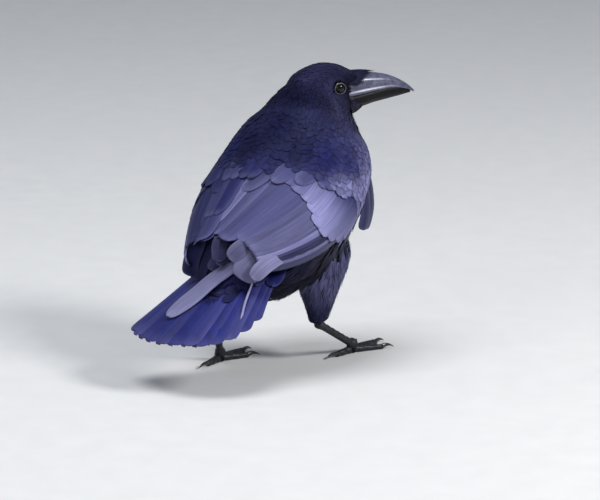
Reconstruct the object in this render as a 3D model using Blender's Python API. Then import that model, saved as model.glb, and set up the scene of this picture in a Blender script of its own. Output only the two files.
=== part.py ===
"""Carrion crow, life size, standing with the right foot forward and the head turned to its right.

The body heads along +X, its right side is -Y, and the soles of the feet are at z = 0.
Tables and sizes are in millimetres and become metres as each mesh is made.
"""

import math

import bmesh
import bpy
from mathutils import Matrix, Vector

MM = 0.001
GAP = 0.3  # clearance between neighbouring pieces
SIDES = {"left": 1, "right": -1}

# Body: each row is one cross-section, from the upper line to the lower line of the profile.
# (upper x, upper z, lower x, lower z, half width, sideways shift)
TRUNK_ROWS = (
    (-102, 78, -99, 65, 8, 0),
    (-88, 93, -83, 63, 19, 0),
    (-71, 111, -63, 60, 31, 0),
    (-52, 134, -42, 53, 43, 0),
    (-29, 159, -10, 60, 53, 0),
    (-9, 179, 24, 80, 57, 0),
    (6, 192, 52, 112, 55, 0),
    (12, 205, 62, 149, 47, -1),
)
NECK_ROWS = (
    (12, 205, 62, 149, 47, -1),
    (13, 213, 61, 165, 39, -3),
    (16, 220, 58, 180, 31, -5),
    (23, 223, 54, 192, 22, -8),
    (32, 220, 50, 200, 12, -11),
)
BODY_SQUARENESS = 2.25

# Head: sections along its own forward axis, heights from the level of the eyes.
# (forward, upper, lower, half width)
HEAD_YAW = -33
HEAD_PITCH = 0
EYE_LINE = (43.9, -12.3, 217.8)
HEAD_ROWS = (
    (-34, 3, -15, 8),
    (-30, 8, -21, 14.5),
    (-22, 12, -27, 20),
    (-8, 16.5, -31, 23.5),
    (6, 15.2, -30, 22.5),
    (15, 11.3, -28, 18.5),
    (22, 7.6, -25.5, 14),
    (29, 5.0, -23, 10.5),
)
EYE_RADIUS = 5.6
EYE_SIDE = 17.8
EYE_HEIGHT = -1.6

# Bill: (forward, culmen height, cutting edge height, half width) and the same with the lower edge.
UPPER_BILL_ROWS = (
    (16, 6.5, -8.0, 9.0),
    (28, 5.9, -8.3, 8.8),
    (42, 3.9, -8.2, 7.4),
    (52, 1.5, -8.0, 6.0),
    (61, -2.0, -8.3, 4.6),
    (69, -6.3, -9.8, 3.0),
    (74, -9.6, -12.0, 1.6),
    (76, -11.6, -12.6, 0.7),
)
LOWER_BILL_ROWS = (
    (16, -8.6, -22.5, 8.4),
    (28, -8.9, -21.5, 8.0),
    (38, -8.8, -19.2, 6.9),
    (50, -8.6, -17.2, 5.2),
    (61, -8.9, -15.4, 3.6),
    (68, -10.3, -14.2, 2.2),
    (72.5, -12.2, -13.4, 0.9),
)

# Folded wings: the same kind of rows for the envelope that both wings lie on, with the skin
# thickness of the wing and the depth it is sunk towards the trunk.
# (upper x, upper z, lower x, lower z, half width, thickness, sunk)
WING_ROWS = (
    (9, 204, 67, 146, 51, 3.0, 4),
    (0, 197, 59, 117, 62, 7.0, 6),
    (-16, 183, 28, 84, 68, 9.0, 6),
    (-40, 162, -8, 66, 69, 9.0, 6),
    (-62, 141, -38, 62, 62, 7.0, 6),
    (-82, 123, -66, 66, 50, 4.0, 3),
    (-98, 112, -90, 74, 38, 2.0, 0),
)
WING_EDGE = 1.2  # thickness at the edges of the wing
WING_TUCK = 0.55  # how far the edges lie down on the body, as a share of the wing's thickness
WING_INSIDE = 0.6  # share of the swell that the inner face keeps
# Angles round the envelope, from the line of the back down the flank, at the front and at the tips.
WING_SPREAD = {
    "left": {"upper": (26, 34), "lower": (100, 124)},
    "right": {"upper": (10, -22), "lower": (100, 124)},
}
WING_SPLIT_ROW = 2.4  # row where the coverts give way to the flight feathers
WING_SPLIT_ROW_GAP = 0.02
WING_SPLIT = 0.56  # share of the spread held by the tertials and inner secondaries
WING_SPLIT_GAP = 0.006

# Tail: a fan about a point inside the trunk.
TAIL_APEX = (26.4, 0, 135.6)
TAIL_SLOPE = 26.5
TAIL_YAW = -0.8
TAIL_LENGTH = 219
TAIL_SHORTER = {"left": 9, "right": 30}  # the outermost feathers against the middle ones
TAIL_ROOT = 124
TAIL_HALF_FAN = 15.6
TAIL_FEATHERS = 12
TAIL_ARCH = 7
TAIL_THICKNESS = 3.4
TAIL_THINNING = 0.55  # share of the thickness lost from the root to the tips
TAIL_SECTIONS = (0, 0.3, 0.6, 0.85, 0.95, 1)  # shares of the way from the root to the tips
TAIL_ROUNDING = 2.5  # exponent of the shortening towards the sides
TAIL_SCALLOP = 6  # depth of the notch between two feather tips

# Legs: knee side, heel and foot of each leg.
FOOT = {"left": (-42.9, 35.9), "right": (39, -37.8)}
HEEL = {"left": (-66, 27, 51), "right": (-3, -32, 31)}
FOOT_YAW = {"left": 0, "right": -2}
THIGH_TOP = {"left": (-4, 25, 98), "right": (10, -28, 100)}
# Feathered thigh from its top to the heel: (share of the way, half length, half width)
THIGH_ROWS = ((0, 22, 12), (0.2, 34, 18), (0.4, 31, 18), (0.6, 22, 15), (0.8, 14, 10.5), (1, 9, 7))
THIGH_CLEAR = 2  # the plumage of the leg ends this far above the heel's centre
SHANK_HEEL = 4.4
SHANK_RADIUS = 3.2
SHANK_FOOT = 8.5
FOOT_BALL = 5.6
FOOT_BALL_SUNK = 0.2  # the ball is this much less than the toes' own depth
TOE_OVERLAP = 2.6  # how far the toes run into each other behind the middle of the foot
TOE_SECTIONS = 7
TOE_PAD = 0.1  # swelling of each pad, as a share of the toe's width
TOE_PADS = 3
TOE_NARROWING = 0.38
TOE_LOWERING = 0.35
TOE_HEIGHT = 0.86  # height against width
TOE_FLATNESS = 1.25  # over 1, the lower part of the round section is cut off as a flat sole
# Each toe: name, yaw from the foot's heading, length, half width and rise of the sole at its root
TOES = (
    ("middle", 0, 35, 3.4, 0),
    ("inner", 27, 26, 3.0, 0.4),
    ("outer", -29, 28, 3.0, 0.6),
    ("hind", 176, 21, 3.3, 0.8),
)
CLAW_LENGTH = {"middle": 12, "inner": 11, "outer": 10, "hind": 14}
CLAW_SECTIONS = 6
CLAW_ROOT_HEIGHT = 2.2
CLAW_ARCH = 2.2  # rise of the middle of the claw over its root
CLAW_DROP = 3.4  # fall of its tip
CLAW_TAPER = 1.9
CLAW_TIP = 0.35  # half height at the tip
CLAW_NARROWNESS = 0.75
CLAW_OFF_FLOOR = 0.02

ROUND = 24  # points round a body section

model = None
cutters = None


def clear_scene():
    for obj in list(bpy.data.objects):
        bpy.data.objects.remove(obj, do_unlink=True)


def collection(name, hidden=False):
    made = bpy.data.collections.new(name)
    made.hide_render = hidden
    bpy.context.scene.collection.children.link(made)
    return made


def material(name, colour, roughness, metallic=0.0):
    made = bpy.data.materials.new(name)
    made.use_nodes = True
    surface = made.node_tree.nodes["Principled BSDF"]
    surface.inputs["Base Color"].default_value = (*colour, 1)
    surface.inputs["Roughness"].default_value = roughness
    surface.inputs["Metallic"].default_value = metallic
    made.diffuse_color = (*colour, 1)
    return made


def between(rows, at):
    """The row at a fractional index, on a smooth curve through the rows."""
    last = len(rows) - 1
    low = min(max(int(at), 0), last - 1)
    t = at - low
    before, a, b, after = (rows[min(max(low + k, 0), last)] for k in (-1, 0, 1, 2))
    return tuple(
        0.5 * (2 * q + (r - p) * t + (2 * p - 5 * q + 4 * r - s) * t**2 + (3 * q - p - 3 * r + s) * t**3)
        for p, q, r, s in zip(before, a, b, after)
    )


def steps(rows, per_row):
    count = (len(rows) - 1) * per_row
    return [between(rows, i / per_row) for i in range(count + 1)]


def power(value, exponent):
    return math.copysign(abs(value) ** exponent, value)


def section(centre, side, up, half_width, half_height, squareness=2.0, count=ROUND):
    """A closed ring of points round a centre, as an ellipse or a squarer one."""
    ring = []
    for i in range(count):
        turn = math.tau * i / count
        across = power(math.sin(turn), 2 / squareness) * half_width
        along = power(math.cos(turn), 2 / squareness) * half_height
        ring.append(centre + side * across + up * along)
    return ring


def cap(made, loop, band):
    """The face at one end of a loft; a band is closed strip by strip, so that it keeps its curve."""
    if not band:
        made.faces.new(loop)
        return
    for i in range(len(loop) // 2 - 1):
        made.faces.new((loop[i], loop[i + 1], loop[-i - 2], loop[-i - 1]))


def loft(name, rings, shade=None, band=False, into=None):
    """A closed solid through rings of equal length, with its two ends capped."""
    mesh = bpy.data.meshes.new(name)
    made = bmesh.new()
    loops = [[made.verts.new(point * MM) for point in ring] for ring in rings]
    count = len(rings[0])
    for first, second in zip(loops, loops[1:]):
        for i in range(count):
            j = (i + 1) % count
            made.faces.new((first[i], first[j], second[j], second[i]))
    cap(made, loops[0], band)
    cap(made, loops[-1], band)
    bmesh.ops.recalc_face_normals(made, faces=made.faces)
    if made.calc_volume(signed=True) < 0:
        bmesh.ops.reverse_faces(made, faces=made.faces)
    for face in made.faces:
        face.smooth = True
    made.to_mesh(mesh)
    made.free()
    obj = bpy.data.objects.new(name, mesh)
    (into or model).objects.link(obj)
    if shade:
        mesh.materials.append(shade)
    return obj


def cutter(obj):
    obj.display_type = "WIRE"
    obj.hide_render = True
    return obj


def cut(obj, tool, operation="DIFFERENCE"):
    modifier = obj.modifiers.new(operation.title(), "BOOLEAN")
    modifier.operation = operation
    modifier.solver = "EXACT"
    modifier.object = tool
    return obj


def body_rings(rows, grow=0.0, per_row=3, count=ROUND):
    rings = []
    for upper_x, upper_z, lower_x, lower_z, half_width, shift in steps(rows, per_row):
        upper = Vector((upper_x, shift, upper_z))
        lower = Vector((lower_x, shift, lower_z))
        up = (upper - lower).normalized()
        half_height = (upper - lower).length / 2
        rings.append(
            section(
                (upper + lower) / 2,
                Vector((0, -1, 0)),
                up,
                half_width + grow,
                half_height + grow,
                BODY_SQUARENESS,
                count,
            )
        )
    return rings


def pushed(rings, first, last):
    """The rings with the two end ones moved outwards along the loft."""
    start = (sum(rings[0], Vector()) - sum(rings[1], Vector())) / len(rings[0])
    end = (sum(rings[-1], Vector()) - sum(rings[-2], Vector())) / len(rings[0])
    rings[0] = [point + start.normalized() * first for point in rings[0]]
    rings[-1] = [point + end.normalized() * last for point in rings[-1]]
    return rings


def head_frame():
    turn = Matrix.Rotation(math.radians(HEAD_YAW), 3, "Z") @ Matrix.Rotation(math.radians(HEAD_PITCH), 3, "Y")
    return turn @ Vector((1, 0, 0)), turn @ Vector((0, -1, 0)), turn @ Vector((0, 0, 1))


def head_point(forward, right, above):
    ahead, side, up = head_frame()
    return Vector(EYE_LINE) + ahead * forward + side * right + up * above


def head_rings(rows, grow=0.0, squareness=2.15, per_row=2, count=20):
    _, side, up = head_frame()
    rings = []
    for forward, upper, lower, half_width in steps(rows, per_row):
        centre = head_point(forward, 0, (upper + lower) / 2)
        rings.append(
            section(centre, side, up, half_width + grow, (upper - lower) / 2 + grow, squareness, count)
        )
    return rings


def make_trunk(plumage):
    return loft("trunk", body_rings(TRUNK_ROWS), plumage)


def trunk_cutter(grow):
    return cutter(loft("trunk_space", pushed(body_rings(TRUNK_ROWS, grow), grow, grow), into=cutters))


def make_head(plumage, eye_finish, horn):
    head = loft("head", head_rings(HEAD_ROWS), plumage)
    space = cutter(loft("head_space", pushed(head_rings(HEAD_ROWS, GAP), GAP, GAP), into=cutters))
    for side, sign in SIDES.items():
        place = head_point(0, -sign * EYE_SIDE, EYE_HEIGHT)
        eye = ball(f"eye_{side}", place, EYE_RADIUS, model)
        eye.data.materials.append(eye_finish)
        cut(head, cutter(ball(f"socket_{side}", place, EYE_RADIUS + GAP, cutters)))
    for name, rows in (("bill_upper", UPPER_BILL_ROWS), ("bill_lower", LOWER_BILL_ROWS)):
        bill = loft(name, head_rings(rows, squareness=2.4, count=14), horn)
        cut(bill, space)
    return space


def ball(name, place, radius, into, around=12):
    mesh = bpy.data.meshes.new(name)
    made = bmesh.new()
    bmesh.ops.create_uvsphere(made, u_segments=around, v_segments=around // 2 + 2, radius=radius * MM)
    for face in made.faces:
        face.smooth = True
    made.to_mesh(mesh)
    made.free()
    obj = bpy.data.objects.new(name, mesh)
    obj.location = place * MM
    into.objects.link(obj)
    return obj


def make_neck(plumage, head_space):
    neck = loft("neck", pushed(body_rings(NECK_ROWS, per_row=2), -GAP, 0), plumage)
    return cut(neck, head_space)


def wing_ring(side, at, low, high, count=7):
    """A crescent across the wing between two shares of its spread."""
    row = between(WING_ROWS, at)
    upper_x, upper_z, lower_x, lower_z, half_width, thickness, sunk = row
    along = at / (len(WING_ROWS) - 1)
    spread = WING_SPREAD[side]
    start = spread["upper"][0] + (spread["upper"][1] - spread["upper"][0]) * along**1.5
    end = spread["lower"][0] + (spread["lower"][1] - spread["lower"][0]) * along
    upper, lower = Vector((upper_x, 0, upper_z)), Vector((lower_x, 0, lower_z))
    centre, up = (upper + lower) / 2, (upper - lower).normalized()
    half_height = (upper - lower).length / 2
    across = Vector((0, SIDES[side], 0))
    outer, inner = [], []
    for i in range(count):
        share = low + (high - low) * i / (count - 1)
        turn = math.radians(start + (end - start) * share)
        body = math.sin(math.pi * min(max(share, 0.0), 1.0)) ** 0.5
        swell = (thickness - WING_EDGE) * body
        ray = across * math.sin(turn) * half_width + up * math.cos(turn) * half_height
        inwards = -ray.normalized()
        surface = centre + ray + inwards * (thickness - WING_EDGE - swell) * WING_TUCK
        outer.append(surface)
        inner.append(surface + inwards * (WING_EDGE + swell * WING_INSIDE + sunk))
    return outer + inner[::-1]


def wing_panel(name, side, rows, shares, plumage, trunk_space, rings=8):
    made = [
        wing_ring(side, rows[0] + (rows[1] - rows[0]) * i / (rings - 1), *shares)
        for i in range(rings)
    ]
    return cut(loft(name, made, plumage, band=True), trunk_space)


def make_wings(plumage, trunk_space):
    last = len(WING_ROWS) - 1
    for side in SIDES:
        wing_panel(f"wing_coverts_{side}", side, (0, WING_SPLIT_ROW), (0, 1), plumage, trunk_space)
        behind = (WING_SPLIT_ROW + WING_SPLIT_ROW_GAP, last)
        shares = {"tertials": (0, WING_SPLIT), "primaries": (WING_SPLIT + WING_SPLIT_GAP, 1)}
        for name, share in shares.items():
            wing_panel(f"wing_{name}_{side}", side, behind, share, plumage, trunk_space)


def tail_point(radius, turn, above):
    """A place on the fan: distance from its apex, angle to the left, height over its surface."""
    slope = Matrix.Rotation(math.radians(-TAIL_YAW), 3, "Z") @ Matrix.Rotation(math.radians(-TAIL_SLOPE), 3, "Y")
    back = -radius * math.cos(math.radians(turn))
    left = radius * math.sin(math.radians(turn))
    droop = TAIL_ARCH * (turn / TAIL_HALF_FAN) ** 2 * (radius / TAIL_LENGTH)
    return Vector(TAIL_APEX) + slope @ Vector((back, left, above - droop))


def tail_edge(turn):
    """The fan's radius at an angle: shorter to the sides, with a round tip to each feather."""
    share = turn / TAIL_HALF_FAN
    place = (share + 1) / 2 * TAIL_FEATHERS
    scallop = abs(math.sin(math.pi * place)) ** 0.6
    shorter = TAIL_SHORTER["left" if share > 0 else "right"]
    return TAIL_LENGTH - shorter * abs(share) ** TAIL_ROUNDING - TAIL_SCALLOP * (1 - scallop)


def make_tail(plumage, trunk_space):
    across = TAIL_FEATHERS * 3
    turns = [TAIL_HALF_FAN * (2 * i / across - 1) for i in range(across + 1)]
    rings = []
    for share in TAIL_SECTIONS:
        height = TAIL_THICKNESS * (1 - TAIL_THINNING * share) / 2
        radii = [TAIL_ROOT + (tail_edge(turn) - TAIL_ROOT) * share for turn in turns]
        upper = [tail_point(radius, turn, height) for radius, turn in zip(radii, turns)]
        lower = [tail_point(radius, turn, -height) for radius, turn in zip(radii, turns)]
        rings.append(upper + lower[::-1])
    return cut(loft("tail", rings, plumage, band=True), trunk_space)


def tube_rings(points, radii, count=12, flat=1.0):
    rings = []
    for i, (point, radius) in enumerate(zip(points, radii)):
        ahead = (points[min(i + 1, len(points) - 1)] - points[max(i - 1, 0)]).normalized()
        side = ahead.cross(Vector((1, 0, 0.2))).normalized()
        up = side.cross(ahead).normalized()
        rings.append(section(point, side, up, radius * flat, radius, count=count))
    return rings


def make_thigh(side, plumage, trunk_space):
    top, heel = Vector(THIGH_TOP[side]), Vector(HEEL[side])
    end = heel + (top - heel).normalized() * THIGH_CLEAR
    along = Vector((1, 0, 0.1)).normalized()
    rings = []
    for share, half_length, half_width in steps(THIGH_ROWS, 2):
        rings.append(section(top.lerp(end, share), along, Vector((0, 1, 0)), half_length, half_width, count=16))
    thigh = cut(loft(f"thigh_{side}", rings, plumage), trunk_space)
    cut(thigh, cutter(loft(f"shank_space_{side}", shank_rings(side, GAP), into=cutters)))
    return cut(thigh, cutter(ball(f"heel_space_{side}", heel, SHANK_HEEL + GAP, cutters)))


def shank_rings(side, grow=0.0):
    heel, foot = Vector(HEEL[side]), Vector((*FOOT[side], SHANK_FOOT))
    points = [heel.lerp(foot, i / 4) for i in range(5)]
    radii = [SHANK_HEEL * 0.9, SHANK_RADIUS, SHANK_RADIUS, SHANK_RADIUS, SHANK_RADIUS * 1.1]
    return tube_rings(points, [radius + grow for radius in radii])


def make_shank(side, scales):
    shank = loft(f"shank_{side}", shank_rings(side), scales)
    cut(shank, cutter(ball(f"heel_{side}", Vector(HEEL[side]), SHANK_HEEL, cutters)), "UNION")
    return cut(shank, cutter(foot_ball(side, GAP)))


def foot_ball(side, grow):
    """The ball of the foot, which the toes and the shank meet at."""
    place = Vector((*FOOT[side], FOOT_BALL))
    return ball(f"foot_ball_{side}", place, FOOT_BALL + grow - FOOT_BALL_SUNK, cutters)


def toe_rings(root, yaw, length, half_width, rise):
    """A toe on the floor: flat sole, round back, a pad under each of its joints."""
    ahead = Matrix.Rotation(math.radians(yaw), 3, "Z") @ Vector((1, 0, 0))
    side = Vector((-ahead.y, ahead.x, 0))
    rings = []
    for i in range(TOE_SECTIONS):
        share = i / (TOE_SECTIONS - 1)
        pad = 1 + TOE_PAD * math.cos(share * TOE_PADS * math.tau)
        width = half_width * (1 - TOE_NARROWING * share) * pad
        height = 2 * half_width * (1 - TOE_LOWERING * share) * TOE_HEIGHT
        lift = max(rise * (1 - 3 * share), 0)
        ring = []
        for k in range(10):
            turn = math.tau * k / 10
            above = max(height / 2 * (1 + TOE_FLATNESS * math.cos(turn)), 0)
            across = side * width * math.sin(turn)
            along = ahead * (length * share - (1 - share) * (TOE_OVERLAP + rise))
            ring.append(root + along + across + Vector((0, 0, above + lift)))
        rings.append(ring)
    return rings, ahead


def make_foot(side, scales, claw_finish):
    root = Vector((*FOOT[side], 0))
    sign = SIDES[side]
    foot = None
    for name, yaw, length, half_width, rise in TOES:
        turn = FOOT_YAW[side] - sign * yaw
        rings, ahead = toe_rings(root, turn, length, half_width, rise)
        toe = loft(f"toe_{name}_{side}", rings, scales, into=model if foot is None else cutters)
        if foot is None:
            foot = toe
            foot.name = f"foot_{side}"
        else:
            cut(foot, cutter(toe), "UNION")
        make_claw(f"claw_{name}_{side}", root + ahead * (length + GAP), ahead, CLAW_LENGTH[name], claw_finish)
    return cut(foot, cutter(foot_ball(side, 0)), "UNION")


def make_claw(name, base, ahead, length, finish):
    side = Vector((-ahead.y, ahead.x, 0))
    rings = []
    for i in range(CLAW_SECTIONS):
        share = i / (CLAW_SECTIONS - 1)
        rise = CLAW_ROOT_HEIGHT + CLAW_ARCH * math.sin(share * math.pi * 0.62) - CLAW_DROP * share**2
        size = CLAW_TAPER * (1 - share) + CLAW_TIP
        centre = base + ahead * length * share + Vector((0, 0, max(rise, size + CLAW_OFF_FLOOR)))
        rings.append(section(centre, side, Vector((0, 0, 1)), size * CLAW_NARROWNESS, size, count=8))
    return loft(name, rings, finish)


def stand_on_origin():
    """Moves everything sideways, so that the middle of the model's box stands over the origin."""
    bpy.context.view_layer.update()
    graph = bpy.context.evaluated_depsgraph_get()
    corners = []
    for obj in model.objects:
        shown = obj.evaluated_get(graph)
        corners += [shown.matrix_world @ Vector(corner) for corner in shown.bound_box]
    low = Vector([min(corner[axis] for corner in corners) for axis in range(3)])
    high = Vector([max(corner[axis] for corner in corners) for axis in range(3)])
    middle = Vector(((low.x + high.x) / 2, (low.y + high.y) / 2, 0))
    for obj in list(model.objects) + list(cutters.objects):
        obj.location -= middle


def main():
    global model, cutters
    clear_scene()
    model = collection("carrion_crow")
    cutters = collection("cutters", hidden=True)
    head_plumage = material("head_plumage", (0.008, 0.008, 0.012), 0.5)
    body_plumage = material("body_plumage", (0.012, 0.012, 0.024), 0.55)
    wing_plumage = material("wing_plumage", (0.035, 0.035, 0.06), 0.5)
    tail_plumage = material("tail_plumage", (0.016, 0.017, 0.05), 0.5)
    horn = material("bill_horn", (0.02, 0.02, 0.022), 0.3)
    scales = material("leg_scales", (0.02, 0.02, 0.024), 0.45)
    claw_finish = material("claw_horn", (0.015, 0.015, 0.016), 0.3)
    eye_finish = material("eye", (0.015, 0.009, 0.006), 0.05)
    trunk = make_trunk(body_plumage)
    trunk_space = trunk_cutter(GAP)
    head_space = make_head(head_plumage, eye_finish, horn)
    cut(trunk, head_space)
    make_neck(head_plumage, head_space)
    make_wings(wing_plumage, trunk_space)
    make_tail(tail_plumage, trunk_space)
    for side in SIDES:
        make_thigh(side, body_plumage, trunk_space)
        make_shank(side, scales)
        make_foot(side, scales, claw_finish)
    stand_on_origin()


main()
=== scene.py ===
"""Looks of the carrion crow: feathered skin, flight feathers, bill, eyes, legs, floor, lights and camera.

Sizes in the tables are in millimetres in the body's own frame, where the body heads along +X, the
bird's left is +Y and the soles stand at z = 0. They become metres as each mesh is made.
"""

import math

import bmesh
import bpy
import numpy as np
from mathutils import Matrix, Vector
from mathutils.bvhtree import BVHTree


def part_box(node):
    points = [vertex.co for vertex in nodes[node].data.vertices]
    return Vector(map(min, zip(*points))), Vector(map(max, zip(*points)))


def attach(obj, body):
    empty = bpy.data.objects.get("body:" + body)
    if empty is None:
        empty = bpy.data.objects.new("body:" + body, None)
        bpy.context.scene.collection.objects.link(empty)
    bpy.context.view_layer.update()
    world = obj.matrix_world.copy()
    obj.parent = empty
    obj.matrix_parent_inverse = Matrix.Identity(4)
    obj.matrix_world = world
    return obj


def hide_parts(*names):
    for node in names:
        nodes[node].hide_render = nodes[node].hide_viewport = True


MM = 0.001
SIDES = {"left": 1, "right": -1}
FLESH = ("head", "neck", "trunk", "thigh_left", "thigh_right")
WINGS = tuple(f"wing_{part}_{side}" for part in ("coverts", "tertials", "primaries") for side in SIDES)

# Skin and coat
COAT_DEPTH = 2.4
CREASE_ROUNDS = 70
MOST_FILLED = 6
ROOT_MARGIN = 1.8  # how far from the coat's surface a root may lie
CELL = 4.0
NEIGHBOURS = [tuple(i - 1 for i in step) for step in np.ndindex(3, 3, 3)]
FEATHER_ROWS = 7
PLUME_STRANDS = 7
BRISTLES = 1300
BARB = np.array((-1.0, 0.0, 1.0))
PATCH = 0.003
FACTS = ("across", "along", "tone", "blue", "pale", "seed")  # in mm, then shares; seed is a random number

# Head: forward axis turned to the bird's right, heights from the level of the eyes.
HEAD_YAW = -33
HEAD_TURN = math.radians(HEAD_YAW)
AHEAD = np.array((math.cos(HEAD_TURN), math.sin(HEAD_TURN), 0))
RIGHT = np.array((math.sin(HEAD_TURN), -math.cos(HEAD_TURN), 0))
UP = np.array((0.0, 0.0, 1.0))
HEAD_AXES = np.array((AHEAD, RIGHT, UP))
EYE_LINE = np.array((43.9, -12.3, 217.8))
EYE_SIDE = 17.8
EYE_HEIGHT = -1.6
EYE_RADIUS = 5.6
LID_RADIUS = 4.5
THROAT = ((16.5, -20), (13, 9.5, 8.5))  # place ahead and below the eyes, half sizes
OVER_BILL, UNDER_BILL = 1.07, 0.92  # how far from the bill's own surface the coat and the skin begin

# Bill: (forward, upper line, lower line, half width)
UPPER_BILL_ROWS = (
    (8, 6, -12.6, 8.4),
    (16, 6.5, -11.8, 9),
    (28, 6.6, -10, 8.8),
    (42, 5, -8.3, 7.4),
    (52, 2.8, -7.5, 6),
    (61, -0.9, -7.9, 4.6),
    (69, -5.6, -9.6, 3),
    (74, -9.6, -12, 1.6),
    (76, -11.6, -12.6, 0.7),
)
LOWER_BILL_ROWS = (
    (8, -13, -22, 8.2),
    (16, -12.2, -22.5, 8.9),
    (28, -10.4, -21.5, 8.6),
    (38, -9.2, -19.2, 7.5),
    (50, -8.1, -17.2, 5.9),
    (61, -8.5, -15.4, 4.2),
    (68, -10.1, -14.2, 2.5),
    (72.5, -12.2, -13.4, 0.9),
)

# Folded wing: (upper x, upper z, lower x, lower z, half width, thickness)
WING_ROWS = (
    (9, 204, 67, 146, 51, 3),
    (0, 197, 59, 117, 62, 7),
    (-16, 183, 28, 84, 68, 9),
    (-40, 162, -8, 66, 69, 9),
    (-62, 141, -38, 62, 62, 7),
    (-82, 123, -66, 66, 50, 4),
    (-98, 112, -90, 74, 38, 2),
)
WING_EDGE = 1.2
WING_TUCK = 0.55
WING_SPREAD = {"left": ((26, 34), (100, 124)), "right": ((10, -22), (100, 124))}

BACK_ARCH = 4.0
BACK_REACH = (-0.4, 4.3)

# Tail: a fan about a point inside the trunk.
TAIL_APEX = np.array((26.4, 0, 135.6))
TAIL_SLOPE = 26.5
TAIL_YAW = -0.8
TAIL_FRAME = np.array(
    Matrix.Rotation(math.radians(-TAIL_YAW), 3, "Z") @ Matrix.Rotation(math.radians(-TAIL_SLOPE), 3, "Y")
)
TAIL_LENGTH = 219
TAIL_HALF_FAN = 15.6
# Tips of the tail feathers, from the right: turn to the left in degrees, distance from the apex, paleness.
TAIL_TIPS = (
    (-12.2, 170, 0.04), (-10.9, 185, 0.03), (-9.0, 197, 0.1), (-6.8, 205, 0.02),
    (-4.4, 210, 0.01), (-2.0, 212, 0.08), (1.0, 213, 0.02), (4.2, 213, 0.1),
    (7.4, 211, 0.03), (10.4, 208, 0.04), (13.2, 204, 0.12), (15.8, 199, 0.06),
)
TAIL_ARCH = 7

# Legs
FOOT = {"left": (-42.9, 35.9), "right": (39, -37.8)}
HEEL = {"left": (-66, 27, 51), "right": (-3, -32, 31)}
FOOT_YAW = {"left": 0, "right": -2}
# Toes: name, turn outwards, length, half width, length of the claw
TOES = (
    ("middle", 0, 35, 3.4, 12),
    ("inner", 27, 26, 3.0, 11),
    ("outer", -29, 28, 3.0, 10),
    ("hind", 176, 21, 3.3, 14),
)

# Lie of the coat on the body: place, the way feathers point (y outwards), length, half width,
# looseness from a firm vane (0) to a plume (1), blueness and paleness.
BODY_LIE = (
    ((30, 0, 222), (-0.6, 0, -0.8), 10, 1.4, 0.15, 0.4, 0.02),
    ((16, 18, 208), (-0.6, 0.25, -0.75), 11, 1.7, 0.1, 0.55, 0.02),
    ((40, -20, 196), (-0.4, 0.1, -0.9), 10, 1.5, 0.2, 0.4, 0.05),
    ((2, 0, 198), (-0.7, 0, -0.7), 13, 3.4, 0, 0.45, 0),
    ((-10, 24, 180), (-0.72, 0.1, -0.7), 14, 4.4, 0, 0.42, 0),
    ((-6, 44, 174), (-0.72, 0.1, -0.7), 14, 4.4, 0, 0.85, 0.02),
    ((-26, 50, 155), (-0.72, 0.1, -0.7), 15, 5.2, 0, 0.95, 0.13),
    ((-30, 0, 160), (-0.7, 0, -0.72), 17, 5.4, 0, 1, 0.04),
    ((-35, 35, 147), (-0.75, 0.05, -0.66), 18, 6, 0, 1, 0.06),
    ((-60, 0, 125), (-0.72, 0, -0.7), 22, 7, 0.1, 0.95, 0.03),
    ((-80, 0, 102), (-0.75, 0, -0.66), 20, 5, 0.1, 0.8, 0.03),
    ((-96, 0, 84), (-0.88, 0, -0.47), 20, 5, 0.1, 0.8, 0.03),
    ((5, 58, 172), (-0.7, 0.05, -0.7), 12, 3.8, 0, 0.95, 0.05),
    # Round the bend of the wing: paleness that is partly the small coverts' own colour and partly a painted highlight.
    ((40, 56, 165), (-0.4, 0.1, -0.9), 9, 2.2, 0, 0.9, 0.35),
    ((28, 62, 148), (-0.42, 0, -0.9), 11, 2.8, 0, 0.9, 0.6),
    ((12, 66, 128), (-0.5, 0, -0.85), 12, 3.2, 0, 0.9, 0.6),
    ((-6, 63, 150), (-0.7, 0, -0.68), 14, 4.6, 0, 0.95, 0.5),
    ((40, 28, 188), (-0.45, 0.3, -0.85), 11, 1.8, 0.15, 0.6, 0.10),
    ((62, -8, 188), (-0.05, 0, -1), 11, 1.6, 0.3, 0.35, 0.06),
    ((63, 0, 152), (-0.15, 0, -1), 14, 3, 0.1, 0.6, 0.1),
    ((52, 40, 150), (-0.4, 0.1, -0.9), 14, 3.2, 0.1, 0.65, 0.15),
    ((50, 0, 108), (-0.5, 0, -0.85), 17, 3.6, 0.4, 0.4, 0.03),
    ((35, 45, 105), (-0.6, 0, -0.8), 18, 3.6, 0.6, 0.3, 0.03),
    ((22, 0, 78), (-0.85, 0, -0.5), 20, 3.8, 0.8, 0.25, 0),
    ((-15, 0, 58), (-1, 0, -0.12), 24, 4.2, 1, 0.05, 0),
    ((-10, 48, 82), (-0.8, 0, -0.6), 28, 4.4, 1, 0.05, 0),
    ((-50, 40, 72), (-0.93, 0, -0.38), 30, 4.6, 1, 0.05, 0),
    ((-60, 0, 58), (-1, 0, 0), 28, 4.4, 1, 0.05, 0),
    ((-92, 0, 66), (-1, 0, -0.2), 30, 5, 0.7, 0.3, 0),
)
# On the thighs: share of the way down, then length and so on.
THIGH_LIE = (
    (0.1, 18, 3.2, 0.8, 0.6, 0.3),
    (0.5, 15, 2.6, 0.75, 0.6, 0.3),
    (0.8, 11, 1.8, 0.6, 0.3, 0.04),
    (1, 6, 1.2, 0.3, 0.3, 0.04),
)
THIGH_TOP = {"left": (-4, 25, 98), "right": (10, -28, 100)}
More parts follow.
